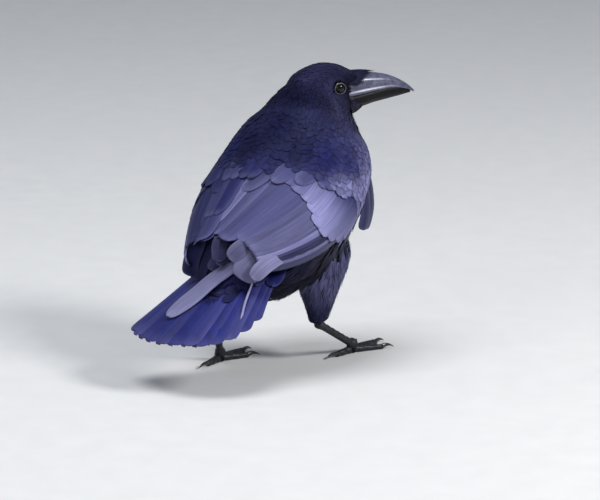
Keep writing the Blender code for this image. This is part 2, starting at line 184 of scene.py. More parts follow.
# On the head: (forward, side, above), direction in the same axes, then as above.
HEAD_LIE = (
    ((30, 0, 5), (-0.97, 0, 0.2), 4.6, 0.8, 0, 0.3, 0.04),
    ((24, 12, -3), (-1, 0.3, 0.1), 4.4, 0.75, 0, 0.2, 0),
    ((14, 0, 12), (-0.95, 0, 0.3), 6, 1, 0, 0.5, 0.04),
    ((-4, 0, 17), (-1, 0, 0), 7.5, 1.1, 0, 0.5, 0.04),
    ((-20, 0, 13), (-0.85, 0, -0.5), 9, 1.3, 0.05, 0.5, 0.03),
    ((-32, 0, -2), (-0.4, 0, -0.9), 10, 1.4, 0.1, 0.5, 0.02),
    ((10, 19, -4), (-1, 0, 0.1), 4.6, 0.8, 0, 0.2, 0),
    ((2, 22, -12), (-0.95, 0, -0.2), 6.6, 0.9, 0, 0.3, 0.05),
    ((-12, 22, -8), (-0.85, 0, -0.5), 8.5, 1.1, 0.05, 0.35, 0.03),
    ((24, 8, -22), (-0.95, 0.1, -0.3), 6.4, 0.9, 0.3, 0.2, 0.02),
    ((24, 0, -32), (-0.6, 0, -0.8), 10, 1.2, 0.8, 0.25, 0.03),
    ((10, 6, -28), (-0.7, 0, -0.7), 9, 1.2, 0.5, 0.35, 0.08),
    ((-14, 14, -26), (-0.5, 0, -0.87), 9.5, 1.3, 0.15, 0.45, 0.05),
)

# Hanging worn feathers: the line of each shaft, the way its face looks, half width,
# paleness (partly wear, partly a painted highlight) and the power of the round tip.
HANGING = (
    (((-66, -28, 113), (-82, -24, 112), (-95, -18.5, 107), (-103, -13, 99)), (-0.6, -0.6, 0.5), 8, 0.26, 2.2),
    (((-64, -38, 110), (-84, -34, 103), (-96, -27, 94), (-102, -23, 84)), (-0.6, -0.6, 0.5), 11.5, 0.40, 2.2),
    # Painted highlight: this feather's high paleness stands for the light on the right of the wing-end group.
    (((-62, -42, 103), (-82, -43, 101), (-95.6, -38.6, 94.6), (-102, -32.8, 85.8)), (-0.5, -0.7, 0.45), 6.4, 0.60, 2.2),
    (
        (
            (-68, -17, 106), (-80.7, -10, 98.4), (-93, -2.2, 89), (-103.7, 5.5, 80.9), (-113, 12.5, 72),
            (-125, 18.5, 64), (-137, 24, 56.5),
        ),
        (-0.45, -0.15, 0.88), 7.6, 0.55, 2.1,
    ),
    (((-84, 3, 104), (-88, 8, 96), (-93, 11, 86)), (-0.8, -0.4, 0.4), 5.5, 0.1, 2.2),
    (((-83, -2, 106), (-87, 1, 99), (-92, 3, 90)), (-0.8, -0.5, 0.4), 6, 0.16, 2.2),
    (((-88, 5, 113), (-93, 4, 105), (-96, 1, 95)), (-0.8, -0.5, 0.3), 6, 0.1, 1.8),
    (((33, -57, 150), (33, -60, 125), (26, -59, 106)), (0.1, -1, 0.1), 6.5, 0.08, 2.4),
    (((22, -60, 145), (22, -62, 122), (17, -61, 107)), (-0.1, -1, 0.1), 6, 0.06, 2.4),
    (
        ((-89.2, -23.7, 79.8), (-108.8, -29.8, 68.8), (-122.8, -34.5, 57), (-137.8, -39.6, 46.4)),
        (-0.45, 0, 0.89), 0.9, 0.9, 2.4,
    ),
    (((-84, 27, 112), (-91, 31, 94), (-92, 33, 79)), (-0.8, -0.2, 0.5), 7, 0, 2.4),
    (((-80, 20, 108), (-88, 24, 90), (-91, 28, 76)), (-0.8, -0.2, 0.5), 7.5, 0.02, 2.4),
    (((-74, 14, 106), (-84, 17, 88), (-90, 22, 74)), (-0.8, -0.2, 0.5), 8, 0, 2.4),
)

# Camera, as seen from the model's own frame
CAMERA_AZIMUTH = -58
CAMERA_ELEVATION = 12
CAMERA_DISTANCE = 4.0
CAMERA_AIM = np.array((5.7, -9.2, 87.1))
FRAME_WIDTH = 0.48

BLUE_SHEEN = (0.4, 0.42, 1.0, 1)
PUPIL = (0.001, 0.001, 0.001)

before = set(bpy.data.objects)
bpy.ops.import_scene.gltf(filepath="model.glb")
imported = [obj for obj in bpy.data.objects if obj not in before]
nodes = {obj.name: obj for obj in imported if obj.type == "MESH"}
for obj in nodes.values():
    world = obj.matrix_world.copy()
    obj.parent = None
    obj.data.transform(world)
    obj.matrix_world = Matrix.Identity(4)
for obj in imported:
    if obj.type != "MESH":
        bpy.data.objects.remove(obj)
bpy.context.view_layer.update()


# ---------------------------------------------------------------- shapes


def alike(*values):
    """The values as float arrays of one shape."""
    return np.broadcast_arrays(*(np.asarray(v, float) for v in values))


def between(rows, at):
    """Rows at fractional places, on a smooth curve through the rows."""
    rows, at = np.asarray(rows, float), np.asarray(at, float)
    last = len(rows) - 1
    inside = np.clip(at, 0, last)
    low = np.clip(np.floor(inside), 0, last - 1).astype(int)
    t = (inside - low)[..., None]
    before, a, b, after = (rows[np.clip(low + k, 0, last)] for k in (-1, 0, 1, 2))
    beyond = (at - inside)[..., None] * (b - a) * 0.8
    return beyond + 0.5 * (
        2 * a
        + (b - before) * t
        + (2 * before - 5 * a + 4 * b - after) * t**2
        + (3 * a - before - 3 * b + after) * t**3
    )


def unit(vectors):
    return vectors / np.maximum(np.linalg.norm(vectors, axis=-1, keepdims=True), 1e-9)


def smooth_step(value, low, high):
    t = np.clip((value - low) / (high - low), 0, 1)
    return t * t * (3 - 2 * t)


def head_point(forward, right, above):
    shares = zip((forward, right, above), HEAD_AXES)
    return EYE_LINE + sum(np.multiply.outer(np.asarray(v, float), axis) for v, axis in shares)


def head_places(points):
    """Forward, side and level of points, from the middle of the head at the height of the eyes."""
    return ((points - EYE_LINE) @ HEAD_AXES.T).T


def wing_surface(side):
    """A function from (place along the wing, share across it, height) to points on the folded wing."""
    (front_up, tip_up), (front_low, tip_low) = WING_SPREAD[side]
    across = np.array((0, SIDES[side], 0))

    def place(at, share, above=0.0):
        at, share, above = alike(at, share, above)
        row = between(WING_ROWS, at)
        along = at / (len(WING_ROWS) - 1)
        start = front_up + (tip_up - front_up) * np.maximum(along, 0) ** 1.5
        end = front_low + (tip_low - front_low) * along
        zero = np.zeros_like(at)
        upper = np.stack((row[..., 0], zero, row[..., 1]), -1)
        lower = np.stack((row[..., 2], zero, row[..., 3]), -1)
        up = unit(upper - lower)
        half_height = np.linalg.norm(upper - lower, axis=-1) / 2
        body = 1 - np.clip(np.abs(2 * share - 1), 0, 1) ** 4
        tucked = (row[..., 5] - WING_EDGE) * (1 - body) * WING_TUCK
        turn = np.radians(start + (end - start) * share)
        ray = across * (np.sin(turn) * row[..., 4])[..., None] + up * (np.cos(turn) * half_height)[..., None]
        return (upper + lower) / 2 + ray + unit(ray) * (above - tucked)[..., None]

    return place


def back_surface(at, turn, above=0.0):
    """The mantle between the folded wings: place along the wings, then from the right one (-1) to the left (1)."""
    at, turn, above = alike(at, turn, above)
    left, right = (wing_surface(side)(at, 0.1, -0.6) for side in SIDES)
    rise = BACK_ARCH * (1 - turn**2) + above
    return (left + right) / 2 + (left - right) / 2 * turn[..., None] + np.array((-0.6, 0, 0.8)) * rise[..., None]


def tail_surface(radius, turn, above=0.0):
    """Points on the tail's fan: distance from its apex, angle to the left in degrees, height."""
    radius, turn, above = alike(radius, turn, above)
    droop = TAIL_ARCH * (turn / TAIL_HALF_FAN) ** 2 * (radius / TAIL_LENGTH)
    angle = np.radians(turn)
    return TAIL_APEX + np.stack((-radius * np.cos(angle), radius * np.sin(angle), above - droop), -1) @ TAIL_FRAME.T


def ribbon(points, outward):
    """A surface along a curved line: share of the way, and millimetres across it."""
    points, outward = np.array(points, float), np.array(outward, float)
    last = len(points) - 1

    def place(share, across, above=0.0):
        share, across, above = alike(share, across, above)
        middle = between(points, share * last)
        ahead = unit(between(points, (share + 0.02) * last) - between(points, (share - 0.02) * last))
        out = unit(outward - ahead * (ahead @ outward)[..., None])
        return middle + np.cross(out, ahead) * across[..., None] + out * above[..., None]

    return place


# ---------------------------------------------------------------- meshes


def placed(name, data):
    """A new object in the scene."""
    obj = bpy.data.objects.new(name, data)
    bpy.context.scene.collection.objects.link(obj)
    return obj


class Bundle:
    """Many small pieces gathered into one mesh, with the facts that their material reads."""

    def __init__(self):
        self.points, self.quads, self.facts, self.bake = [], [], [], []
        self.count = 0

    def add(self, points, quads, facts, bake):
        """A grid of points in mm, its quads, its six facts a point, and its places on the bake sheet."""
        self.points.append(points.reshape(-1, 3))
        self.quads.append(quads + self.count)
        self.facts.append(facts.reshape(-1, len(FACTS)))
        self.bake.append(bake.reshape(-1, 2))
        self.count += len(self.points[-1])

    def make(self, name, finish):
        points, quads, facts, bake = map(np.concatenate, (self.points, self.quads, self.facts, self.bake))
        made = mesh_object(name, points, quads, finish)
        for i, fact in enumerate(FACTS):
            layer = made.data.attributes.new(fact, "FLOAT", "POINT")
            layer.data.foreach_set("value", facts[:, i].astype(np.float32))
        unwrap = made.data.uv_layers.new(name="OFBake")
        unwrap.data.foreach_set("uv", bake[quads.ravel()].astype(np.float32).ravel())
        return made


def facts_grid(rows, columns, *values):
    """The facts of each point of a grid, in the order of FACTS."""
    facts = np.zeros((rows, columns, len(FACTS)))
    for i, value in enumerate(values):
        facts[..., i] = value
    return facts


def grid_quads(rows, columns, closed=False):
    """Quads between rows of points. closed joins the last column to the first."""
    column = np.arange(columns if closed else columns - 1)
    first, second = (np.arange(rows - 1)[:, None] * columns + c for c in (column, (column + 1) % columns))
    return np.stack((first, second, second + columns, first + columns), -1).reshape(-1, 4)


def mesh_object(name, points, quads, finish, more_faces=()):
    """One smooth mesh from points in mm."""
    mesh = bpy.data.meshes.new(name)
    mesh.from_pydata((np.asarray(points) * MM + shift).tolist(), [], np.asarray(quads).tolist() + list(more_faces))
    mesh.polygons.foreach_set("use_smooth", np.ones(len(mesh.polygons), bool))
    mesh.materials.append(finish)
    mesh.validate()
    return placed(name, mesh)


def tubes(name, finish, *parts):
    """One mesh of closed tubes with flat ends, each from rings of points in mm, as (along, around, 3)."""
    points, quads, ends, count = [], [], [], 0
    for part in parts:
        along, around = part.shape[:2]
        last = count + (along - 1) * around
        points.append(part.reshape(-1, 3))
        quads.append(grid_quads(along, around, True) + count)
        ends += [tuple(range(count, count + around)), tuple(range(last, last + around))[::-1]]
        count += along * around
    return mesh_object(name, np.concatenate(points), np.concatenate(quads), finish, ends)


def ring(around):
    """Angles round a tube."""
    return np.linspace(0, math.tau, around, endpoint=False)


def joined(names, name, more=()):
    """A copy of some CAD nodes, and more meshes, as one mesh."""
    made = bmesh.new()
    for mesh in [nodes[node].data for node in names] + list(more):
        made.from_mesh(mesh)
    mesh = bpy.data.meshes.new(name)
    made.to_mesh(mesh)
    made.free()
    return placed(name, mesh)


def applied(obj):
    """Turns the modifiers into mesh."""
    graph = bpy.context.evaluated_depsgraph_get()
    mesh = bpy.data.meshes.new_from_object(obj.evaluated_get(graph))
    obj.modifiers.clear()
    old, obj.data = obj.data, mesh
    bpy.data.meshes.remove(old)
    return obj


def points_of(mesh):
    """A mesh's points in mm."""
    points = np.empty(len(mesh.vertices) * 3, np.float32)
    mesh.vertices.foreach_get("co", points)
    return (points.reshape(-1, 3) - shift) / MM


def fill_creases(mesh):
    """Moves a surface outwards where it is hollow, so that head, neck, back and wings run into each other."""
    count = len(mesh.vertices)
    places, normals = np.empty(count * 3), np.empty(count * 3)
    mesh.vertices.foreach_get("co", places)
    mesh.vertices.foreach_get("normal", normals)
    places, normals = places.reshape(-1, 3), normals.reshape(-1, 3)
    ends = np.empty(len(mesh.edges) * 2, int)
    mesh.edges.foreach_get("vertices", ends)
    a, b = ends.reshape(-1, 2).T
    joints = np.bincount(a, minlength=count) + np.bincount(b, minlength=count)
    smooth = places.copy()
    for _ in range(CREASE_ROUNDS):
        total = np.stack(
            [np.bincount(a, smooth[b, k], count) + np.bincount(b, smooth[a, k], count) for k in range(3)], -1
        )
        smooth = 0.5 * smooth + 0.5 * total / np.maximum(joints, 1)[:, None]
    rise = np.clip(((smooth - places) * normals).sum(-1), 0, MOST_FILLED * MM)
    rise *= clear_of_eyes((places - shift) / MM, 9.0)
    mesh.vertices.foreach_set("co", (places + normals * rise[:, None]).ravel())
    mesh.update()


def fused(names, name, voxel, inset, more):
    """One closed skin round some CAD nodes and helpers, smoothed and set in."""
    obj = joined(names, name, more)
    remesh = obj.modifiers.new("fuse", "REMESH")
    remesh.mode = "VOXEL"
    remesh.voxel_size = voxel * MM
    remesh.use_smooth_shade = True
    smooth = obj.modifiers.new("soften", "SMOOTH")
    smooth.factor = 0.5
    smooth.iterations = 12
    applied(obj)
    fill_creases(obj.data)
    obj.modifiers.new("soften", "SMOOTH").iterations = 4
    if inset:
        draw_in = obj.modifiers.new("set_in", "DISPLACE")
        draw_in.mid_level = 0
        draw_in.strength = -inset * MM
    return applied(obj)


def back_saddle():
    """A thick sheet that closes the back between the wings, as a temporary form for the skin."""
    along, across = 30, 13
    at, turn = np.meshgrid(np.linspace(*BACK_REACH, along), np.linspace(-1, 1, across), indexing="ij")
    points = np.concatenate([back_surface(at, turn, above).reshape(-1, 3) for above in (0, -7)])
    sheet = grid_quads(along, across)
    count = along * across
    rim = [*range(across - 1), *range(across - 1, count - 1, across)]
    rim += [*range(count - 1, count - across, -1), *range(count - across, 0, -across)]
    walls = [(rim[i], rim[i - 1], rim[i - 1] + count, rim[i] + count) for i in range(len(rim))]
    return mesh_object("back_saddle", points, np.concatenate((sheet, sheet[:, ::-1] + count, walls)), skin_finish)


def throat_fullness():
    """The loose throat under the bill, as a temporary form for the skin."""
    (forward, above), sizes = THROAT
    tilt, turn = np.meshgrid(np.linspace(0.12, math.pi - 0.12, 14), ring(20), indexing="ij")
    ball = np.stack((np.cos(tilt), np.sin(tilt) * np.cos(turn), np.sin(tilt) * np.sin(turn)), -1) * sizes
    return tubes("throat_fullness", skin_finish, head_point(forward, 0, above) + ball @ HEAD_AXES)


def beard_line(forward):
    """How high the feathers of the chin reach on the lower half of the bill, from the corner of the mouth forward."""
    return -13.0 - 0.42 * (forward - 15)


def draw_in_face(obj, share):
    """Draws the sides of the face ahead of the eyes in to the base of the bill: 1 lies on the bill's own surface."""
    forward, side, level = head_places(points_of(obj.data))
    upper, lower = np.array(UPPER_BILL_ROWS), np.array(LOWER_BILL_ROWS)
    high = np.interp(forward, upper[:, 0], upper[:, 1])
    low = np.interp(forward, lower[:, 0], lower[:, 2])
    wide = np.interp(forward, upper[:, 0], upper[:, 3])
    middle, half = (high + low) / 2, (high - low) / 2
    ratio = np.sqrt((side / wide) ** 2 + ((level - middle) / half) ** 2)
    beard = beard_line(forward)
    walls = (0.4 + 0.6 * smooth_step(level, beard - 4, beard + 0.5)) * (1 - smooth_step(level, 0, 6))
    walls *= smooth_step(level, -31, -24)
    amount = smooth_step(forward, 7, 15) * walls
    factor = 1 + (np.minimum(ratio, share) / np.maximum(ratio, 1e-6) - 1) * amount
    local = np.stack((forward, side * factor, middle + (level - middle) * factor), -1)
    points = (EYE_LINE + local @ HEAD_AXES) * MM + shift
    obj.data.vertices.foreach_set("co", points.astype(np.float32).ravel())
    obj.data.update()


# ---------------------------------------------------------------- feathers


def vane_width(v, base, shoulder, tip_power):
    """Half width along a vane as a share of its widest: a narrow base, straight sides, a round tip."""
    rise = base + (1 - base) * smooth_step(v, 0, 0.3)
    t = np.clip((v - shoulder) / (1 - shoulder), 0, 1)
    return rise * np.maximum(1 - t**tip_power, 0) ** (1 / tip_power)


def spread_rows(count, bunch):
    """Shares of the way along a vane, closer together towards the tip."""
    return 1 - (1 - np.linspace(0, 1, count)) ** bunch


def lay_vane(
    bundle, surface, root, tip, half_width, *, above, pale, bow=0.0, shoulder=0.9, base=0.8, tip_power=2.2,
    uneven=0.0, camber=0.9, twist=0.0, ridge=0.28, thickness=0.22, rows=20, tone=1.0, blue=1.0, nicks=0, edge=0.14,
    fade=(-1, 0), patch=None,
):
    """One large feather on a surface of two coordinates, with a raised shaft and some thickness.

    above holds its height at the root and at the tip, and fade the part of its length where it turns pale.
    """
    v = spread_rows(rows, 1.5)
    shaft = min(0.5 / half_width, 0.12)
    u = np.array((-1, -0.86, -0.6, -0.3, -2.2 * shaft, -shaft, 0, shaft, 2.2 * shaft, 0.3, 0.6, 0.86, 1))
    columns = len(u)
    p = root[0] + (tip[0] - root[0]) * v
    q = root[1] + (tip[1] - root[1]) * v + bow * np.sin(np.pi * v)
    # How far both coordinates go for one millimetre sideways over the surface.
    step_p, step_q = 1e-3 * (abs(tip[0] - root[0]) + 1), 1e-3 * (abs(tip[1] - root[1]) + 1)
    middle = surface(p, q)
    along_p = (surface(p + step_p, q) - middle) / step_p
    along_q = (surface(p, q + step_q) - middle) / step_q
    outward = unit(surface(p, q, 1.0) - middle)
    normal = unit(np.cross(along_p, along_q))
    normal *= np.sign((normal * outward).sum(-1, keepdims=True))
    side = unit(np.cross(normal, unit(np.gradient(middle, axis=0))))
    pp, pq, qq = (along_p**2).sum(-1), (along_p * along_q).sum(-1), (along_q**2).sum(-1)
    ps, qs = (along_p * side).sum(-1), (along_q * side).sum(-1)
    det = pp * qq - pq**2
    turn_p, turn_q = (ps * qq - qs * pq) / det, (qs * pp - ps * pq) / det

    width = half_width * vane_width(v, base, shoulder, tip_power) + 0.05
    reach = width[:, None] * u * np.where(u < 0, 1 - uneven, 1 + uneven)
    for _ in range(nicks):
        at = rng.integers(rows // 3, rows - 2)
        first = rng.choice((0, columns - 2))
        reach[at, first : first + 2] *= rng.uniform(0.72, 0.9)
    height = (above[0] + (above[1] - above[0]) * v**1.2)[:, None] - camber * u**2
    height = height + ridge * np.exp(-((u / (1.2 * shaft)) ** 2)) * (1 - 0.6 * v[:, None]) + twist * u * v[:, None]
    p, q = p[:, None] + reach * turn_p[:, None], q[:, None] + reach * turn_q[:, None]
    top, under = surface(p, q, height), surface(p, q, height - thickness)

    def round_vane(values):
        """Values on the top, then on the underside, so that the two make a closed loop."""
        return np.concatenate((values, values[..., ::-1]), -1)

    count = columns * 2
    i = np.arange(columns - 1)
    end = np.stack((i, i + 1, count - 2 - i, count - 1 - i), -1)
    quads = np.concatenate((grid_quads(rows, count, True), end, (end + (rows - 1) * count)[:, ::-1]))
    flow = np.concatenate(([0], np.cumsum(np.linalg.norm(np.diff(middle, axis=0), axis=1))))
    rim = np.maximum(np.abs(u) ** 3, smooth_step(v, 0.86, 1.0)[:, None])
    paleness = pale * smooth_step(v, *fade)[:, None] + edge * round_vane(rim)
    facts = facts_grid(rows, count, round_vane(reach), flow[:, None], tone, blue, paleness, rng.random())
    bake = patch_places(patch or bake_patch(middle[0]), round_vane(u), v)
    bundle.add(np.concatenate((top, under[:, ::-1]), 1), quads, facts, bake)


def patches(columns, rows):
    """Cells of an even sheet, one for each large feather of a piece."""
    for i in range(columns * rows):
        x, y = i % columns, i // columns
        yield ((x + 0.08) / columns, (y + 0.06) / rows), ((x + 0.92) / columns, (y + 0.94) / rows)


def bake_patch(place):
    """The small patch of one root, at its place on the unrolled body."""
    u, v = unwrapped(place)
    return (u - PATCH / 2, v - PATCH / 2), (u + PATCH / 2, v + PATCH / 2)


def patch_places(patch, u, v):
    """A vane's grid of points laid out on its patch, u from -1 to 1 across and v from 0 to 1 along."""
    (u0, v0), (u1, v1) = patch
    return np.stack(np.broadcast_arrays(u0 + (u1 - u0) * (u[None] + 1) / 2, (v0 + (v1 - v0) * v)[:, None]), -1)


def unwrapped(place):
    """The body rolled out flat: length from bill to tail up the sheet, angle round the body across it."""
    x, y, z = place
    along = np.clip((0.72 * (x + 110) + 0.7 * (z - 40)) / 290, 0, 1)
    round_body = np.arctan2(y + 0.01, z - (60 + 0.72 * (x + 100))) / math.tau + 0.5
    return 0.01 + 0.98 * round_body, 0.01 + 0.98 * along


# ---------------------------------------------------------------- coat


def lie_table():
    """All the coat's guides as arrays: places, directions and (length, width, loose, blue, pale)."""
    places, ways, facts = [], [], []
    for rows, origin, axes in ((BODY_LIE, 0, np.eye(3)), (HEAD_LIE, EYE_LINE, HEAD_AXES)):
        for place, way, *rest in rows:
            for sign in (1, -1) if place[1] else (1,):
                mirror = (1, sign, 1)
                places.append(origin + np.multiply(place, mirror) @ axes)
                ways.append(np.multiply(way, mirror) @ axes)
                facts.append(rest)
    return np.array(places, float), unit(np.array(ways, float)), np.array(facts, float)


def thigh_table():
    """The same round the thighs, from four lines down each of them."""
    places, ways, facts = [], [], []
    for side in SIDES:
        top, heel = np.array(THIGH_TOP[side], float), np.array(HEEL[side], float)
        for share, *rest in THIGH_LIE:
            for offset in ((14, 0, 0), (-14, 0, 0), (0, 14, 0), (0, -14, 0)):
                places.append(top + (heel - top) * share + np.array(offset) * (1.1 - share))
                ways.append(unit(heel - top + np.array((-4.0, 0, 0))))
                facts.append(rest)
    return np.array(places), np.array(ways), np.array(facts, float)


def lie_at(points, table):
    """Direction and facts of the coat at points, blended from the nearest guides."""
    places, ways, facts = table
    far = np.linalg.norm(points[:, None] - places[None], axis=-1) + 0.5
    weight = far ** (-4)
    weight /= weight.sum(1, keepdims=True)
    return unit(weight @ ways), weight @ facts


taken = {}


def spaced(point, gap):
    """Whether a root lies clear of all the roots placed so far; if it does, its place is taken."""
    x, y, z = key = tuple(int(c) for c in point // CELL)
    for i, j, k in NEIGHBOURS:
        for other in taken.get((x + i, y + j, z + k), ()):
            if np.abs(other - point).max() < gap and ((other - point) ** 2).sum() < gap**2:
                return False
    taken.setdefault(key, []).append(point)
    return True


def scattered(mesh, table, density):
    """Roots spread evenly over the outside of a mesh, closer together where the feathers are small."""
    mesh.calc_loop_triangles()
    corners = points_of(mesh)[np.array([t.vertices for t in mesh.loop_triangles])]
    facing = np.cross(corners[:, 1] - corners[:, 0], corners[:, 2] - corners[:, 0])
    area = np.linalg.norm(facing, axis=1) / 2
    facing = unit(facing)
    _, facts = lie_at(corners.mean(1), table)
    spacing = np.sqrt(facts[:, 0] * facts[:, 1] * 2 / density)
    wanted = area / spacing**2 * 4
    chosen = rng.choice(len(area), int(wanted.sum()), p=wanted / wanted.sum())
    a, b = rng.random((2, len(chosen)))
    swap = a + b > 1
    a[swap], b[swap] = 1 - a[swap], 1 - b[swap]
    t = corners[chosen]
    points = t[:, 0] + a[:, None] * (t[:, 1] - t[:, 0]) + b[:, None] * (t[:, 2] - t[:, 0])
    ways, facts = lie_at(points, table)
    spacing = np.sqrt(facts[:, 0] * facts[:, 1] * 2 / density) * 0.72
    kept = []
    for i, point in enumerate(points):
        _, outward, _, gap = outer.find_nearest(point)
        if gap <= ROOT_MARGIN and abs(np.dot(outward, facing[chosen[i]])) > 0.6 and spaced(point, spacing[i]):
            kept.append(i)
    return points[kept], ways[kept], facts[kept]


def draped(root, way, length, steps):
    """Points, normals and sideways directions along the coat's surface from a root, heading one way."""
    point, normal, _, _ = outer.find_nearest(root)
    heading = Vector(way)
    rows = []
    for _ in range(steps):
        heading = (heading - normal * heading.dot(normal)).normalized()
        rows.append((point, normal, normal.cross(heading)))
        point, bent, _, _ = outer.find_nearest(point + heading * (length / (steps - 1)))
        normal = (normal * 0.5 + bent * 0.5).normalized()
    return np.array(rows).swapaxes(0, 1)


def resampled(at, marks, tables):
    """Places, and unit normals and sideways directions, at other shares of the way."""
    places, *ways = (np.stack([np.interp(at, marks, table[:, k]) for k in range(3)], -1) for table in tables)
    return places, *(unit(way) for way in ways)


def add_vane(bundle, spine, across, out, reach, height, u, v, *facts, root):
    """Adds a thin vane: rows along its spine, columns as far across and up as reach and height say."""
    points = spine[:, None] + across[:, None] * reach[..., None] + out[:, None] * height[..., None]
    grid = facts_grid(len(v), len(u), *facts)
    bundle.add(points, grid_quads(len(v), len(u)), grid, patch_places(bake_patch(root), u, v))


def contour_feather(bundle, root, way, length, half_width, blue, pale, depth, lift, raised):
    """One small body feather: a rounded vane that rises from the skin to the top of the coat."""
    v = spread_rows(FEATHER_ROWS, 1.3)
    u = np.array((-1, -0.5, 0, 0.5, 1.0))
    marks = np.linspace(0, 1, FEATHER_ROWS)
    places, normals, sides = resampled(v, marks, draped(root, way, length, FEATHER_ROWS))
    reach = (half_width * vane_width(v, 0.4, 0.55, 2.4) + 0.03)[:, None] * u
    camber = 0.05 * half_width * u**2 * (0.4 + 0.6 * v[:, None])
    height = (raised - depth * (1 - v) + lift * v**2)[:, None] - camber
    pale = pale * (1.3 - 0.5 * u**2) * (0.9 + 0.2 * v[:, None])
    add_vane(
        bundle, places, sides, normals, reach, height, u, v, reach, (v * length)[:, None], rng.uniform(0.8, 1.2), blue,
        pale, rng.random(), root=root,
    )


def plume(bundle, root, way, length, half_width, blue, pale, depth, lift):
    """One loose body feather: a fan of soft barbs that come apart towards the tip."""
    v = np.linspace(0, 1, FEATHER_ROWS)
    tables = draped(root, way, length, FEATHER_ROWS)
    seed, tone = rng.random(), rng.uniform(0.7, 1.25)
    for k in range(PLUME_STRANDS):
        fan = (k / (PLUME_STRANDS - 1) - 0.5) * 2 + rng.normal(0, 0.12)
        reach = 1 - 0.3 * abs(fan) + rng.normal(0, 0.06)
        bend = rng.normal(0, 0.12)
        offset = half_width * (fan * (0.25 + 0.75 * v**0.8) + bend * v**2)
        thin = ((0.16 * half_width + 0.14) * (1 - v**2.2) ** 0.7 + 0.04)[:, None]
        along = v * max(reach, 0.4)
        spine, out, across = resampled(along, v, tables)
        height = -depth * (1 - along) + lift * along**2 * rng.uniform(0.4, 1.6) + rng.normal(0, 0.15)
        add_vane(
            bundle, spine + across * offset[:, None] + out * height[:, None], across, out, thin * BARB,
            0.3 * thin * (1 - BARB**2), BARB, v, offset[:, None] + thin * BARB, (along * length)[:, None],
            tone * rng.uniform(0.85, 1.15), blue, pale + 0.02 * v[:, None], seed, root=root,
        )


def eye_centre(sign, side=EYE_SIDE):
    """The centre of the left (1) or the right (-1) eyeball, or a point further out."""
    return head_point(0, -sign * side, EYE_HEIGHT)


def clear_of_eyes(points, margin):
    far = [np.linalg.norm(points - eye_centre(sign, EYE_SIDE + 4), axis=1) > margin for sign in SIDES.values()]
    return far[0] & far[1]


def behind_bill(points):
    """Leaves the sides of the bill bare ahead of the corner of the mouth."""
    forward, _, level = head_places(points)
    beard = (level < beard_line(forward)) & (forward < 34)
    uneven = 15.6 + 0.9 * np.sin(2.3 * level)
    return (forward < uneven) | (level > 1.5 + 0.12 * (forward - 14)) | beard


def make_coat(name, meshes, table, density=3.4, raised=0.0, blueness=1.0, wear_and_highlight_share=1.0, kept_places=None):
    """A coat piece over some meshes, laid by a table of guides."""
    bundle = Bundle()
    for mesh in meshes:
        points, ways, facts = scattered(mesh, table, density)
        keep = clear_of_eyes(points, 5.0)
        if kept_places:
            keep &= kept_places(points)
        for point, way, fact in zip(points[keep], ways[keep], facts[keep]):
            length, half_width, loose, blue, pale = fact
            length *= rng.uniform(0.85, 1.15)
            half_width *= rng.uniform(0.9, 1.15)
            way = unit(way + rng.normal(0, 0.06 + 0.12 * loose, 3))
            depth = min(COAT_DEPTH, 0.3 + length * 0.05)
            lift = 0.01 * length + loose * 0.9
            fitted = (bundle, Vector(point), way, length, half_width, blue * blueness, pale * wear_and_highlight_share, depth, lift)
            if rng.random() < smooth_step(loose, 0.25, 0.6):
                plume(*fitted)
            else:
                contour_feather(*fitted, raised)
    return bundle.make(name, plumage)


# ---------------------------------------------------------------- flight feathers


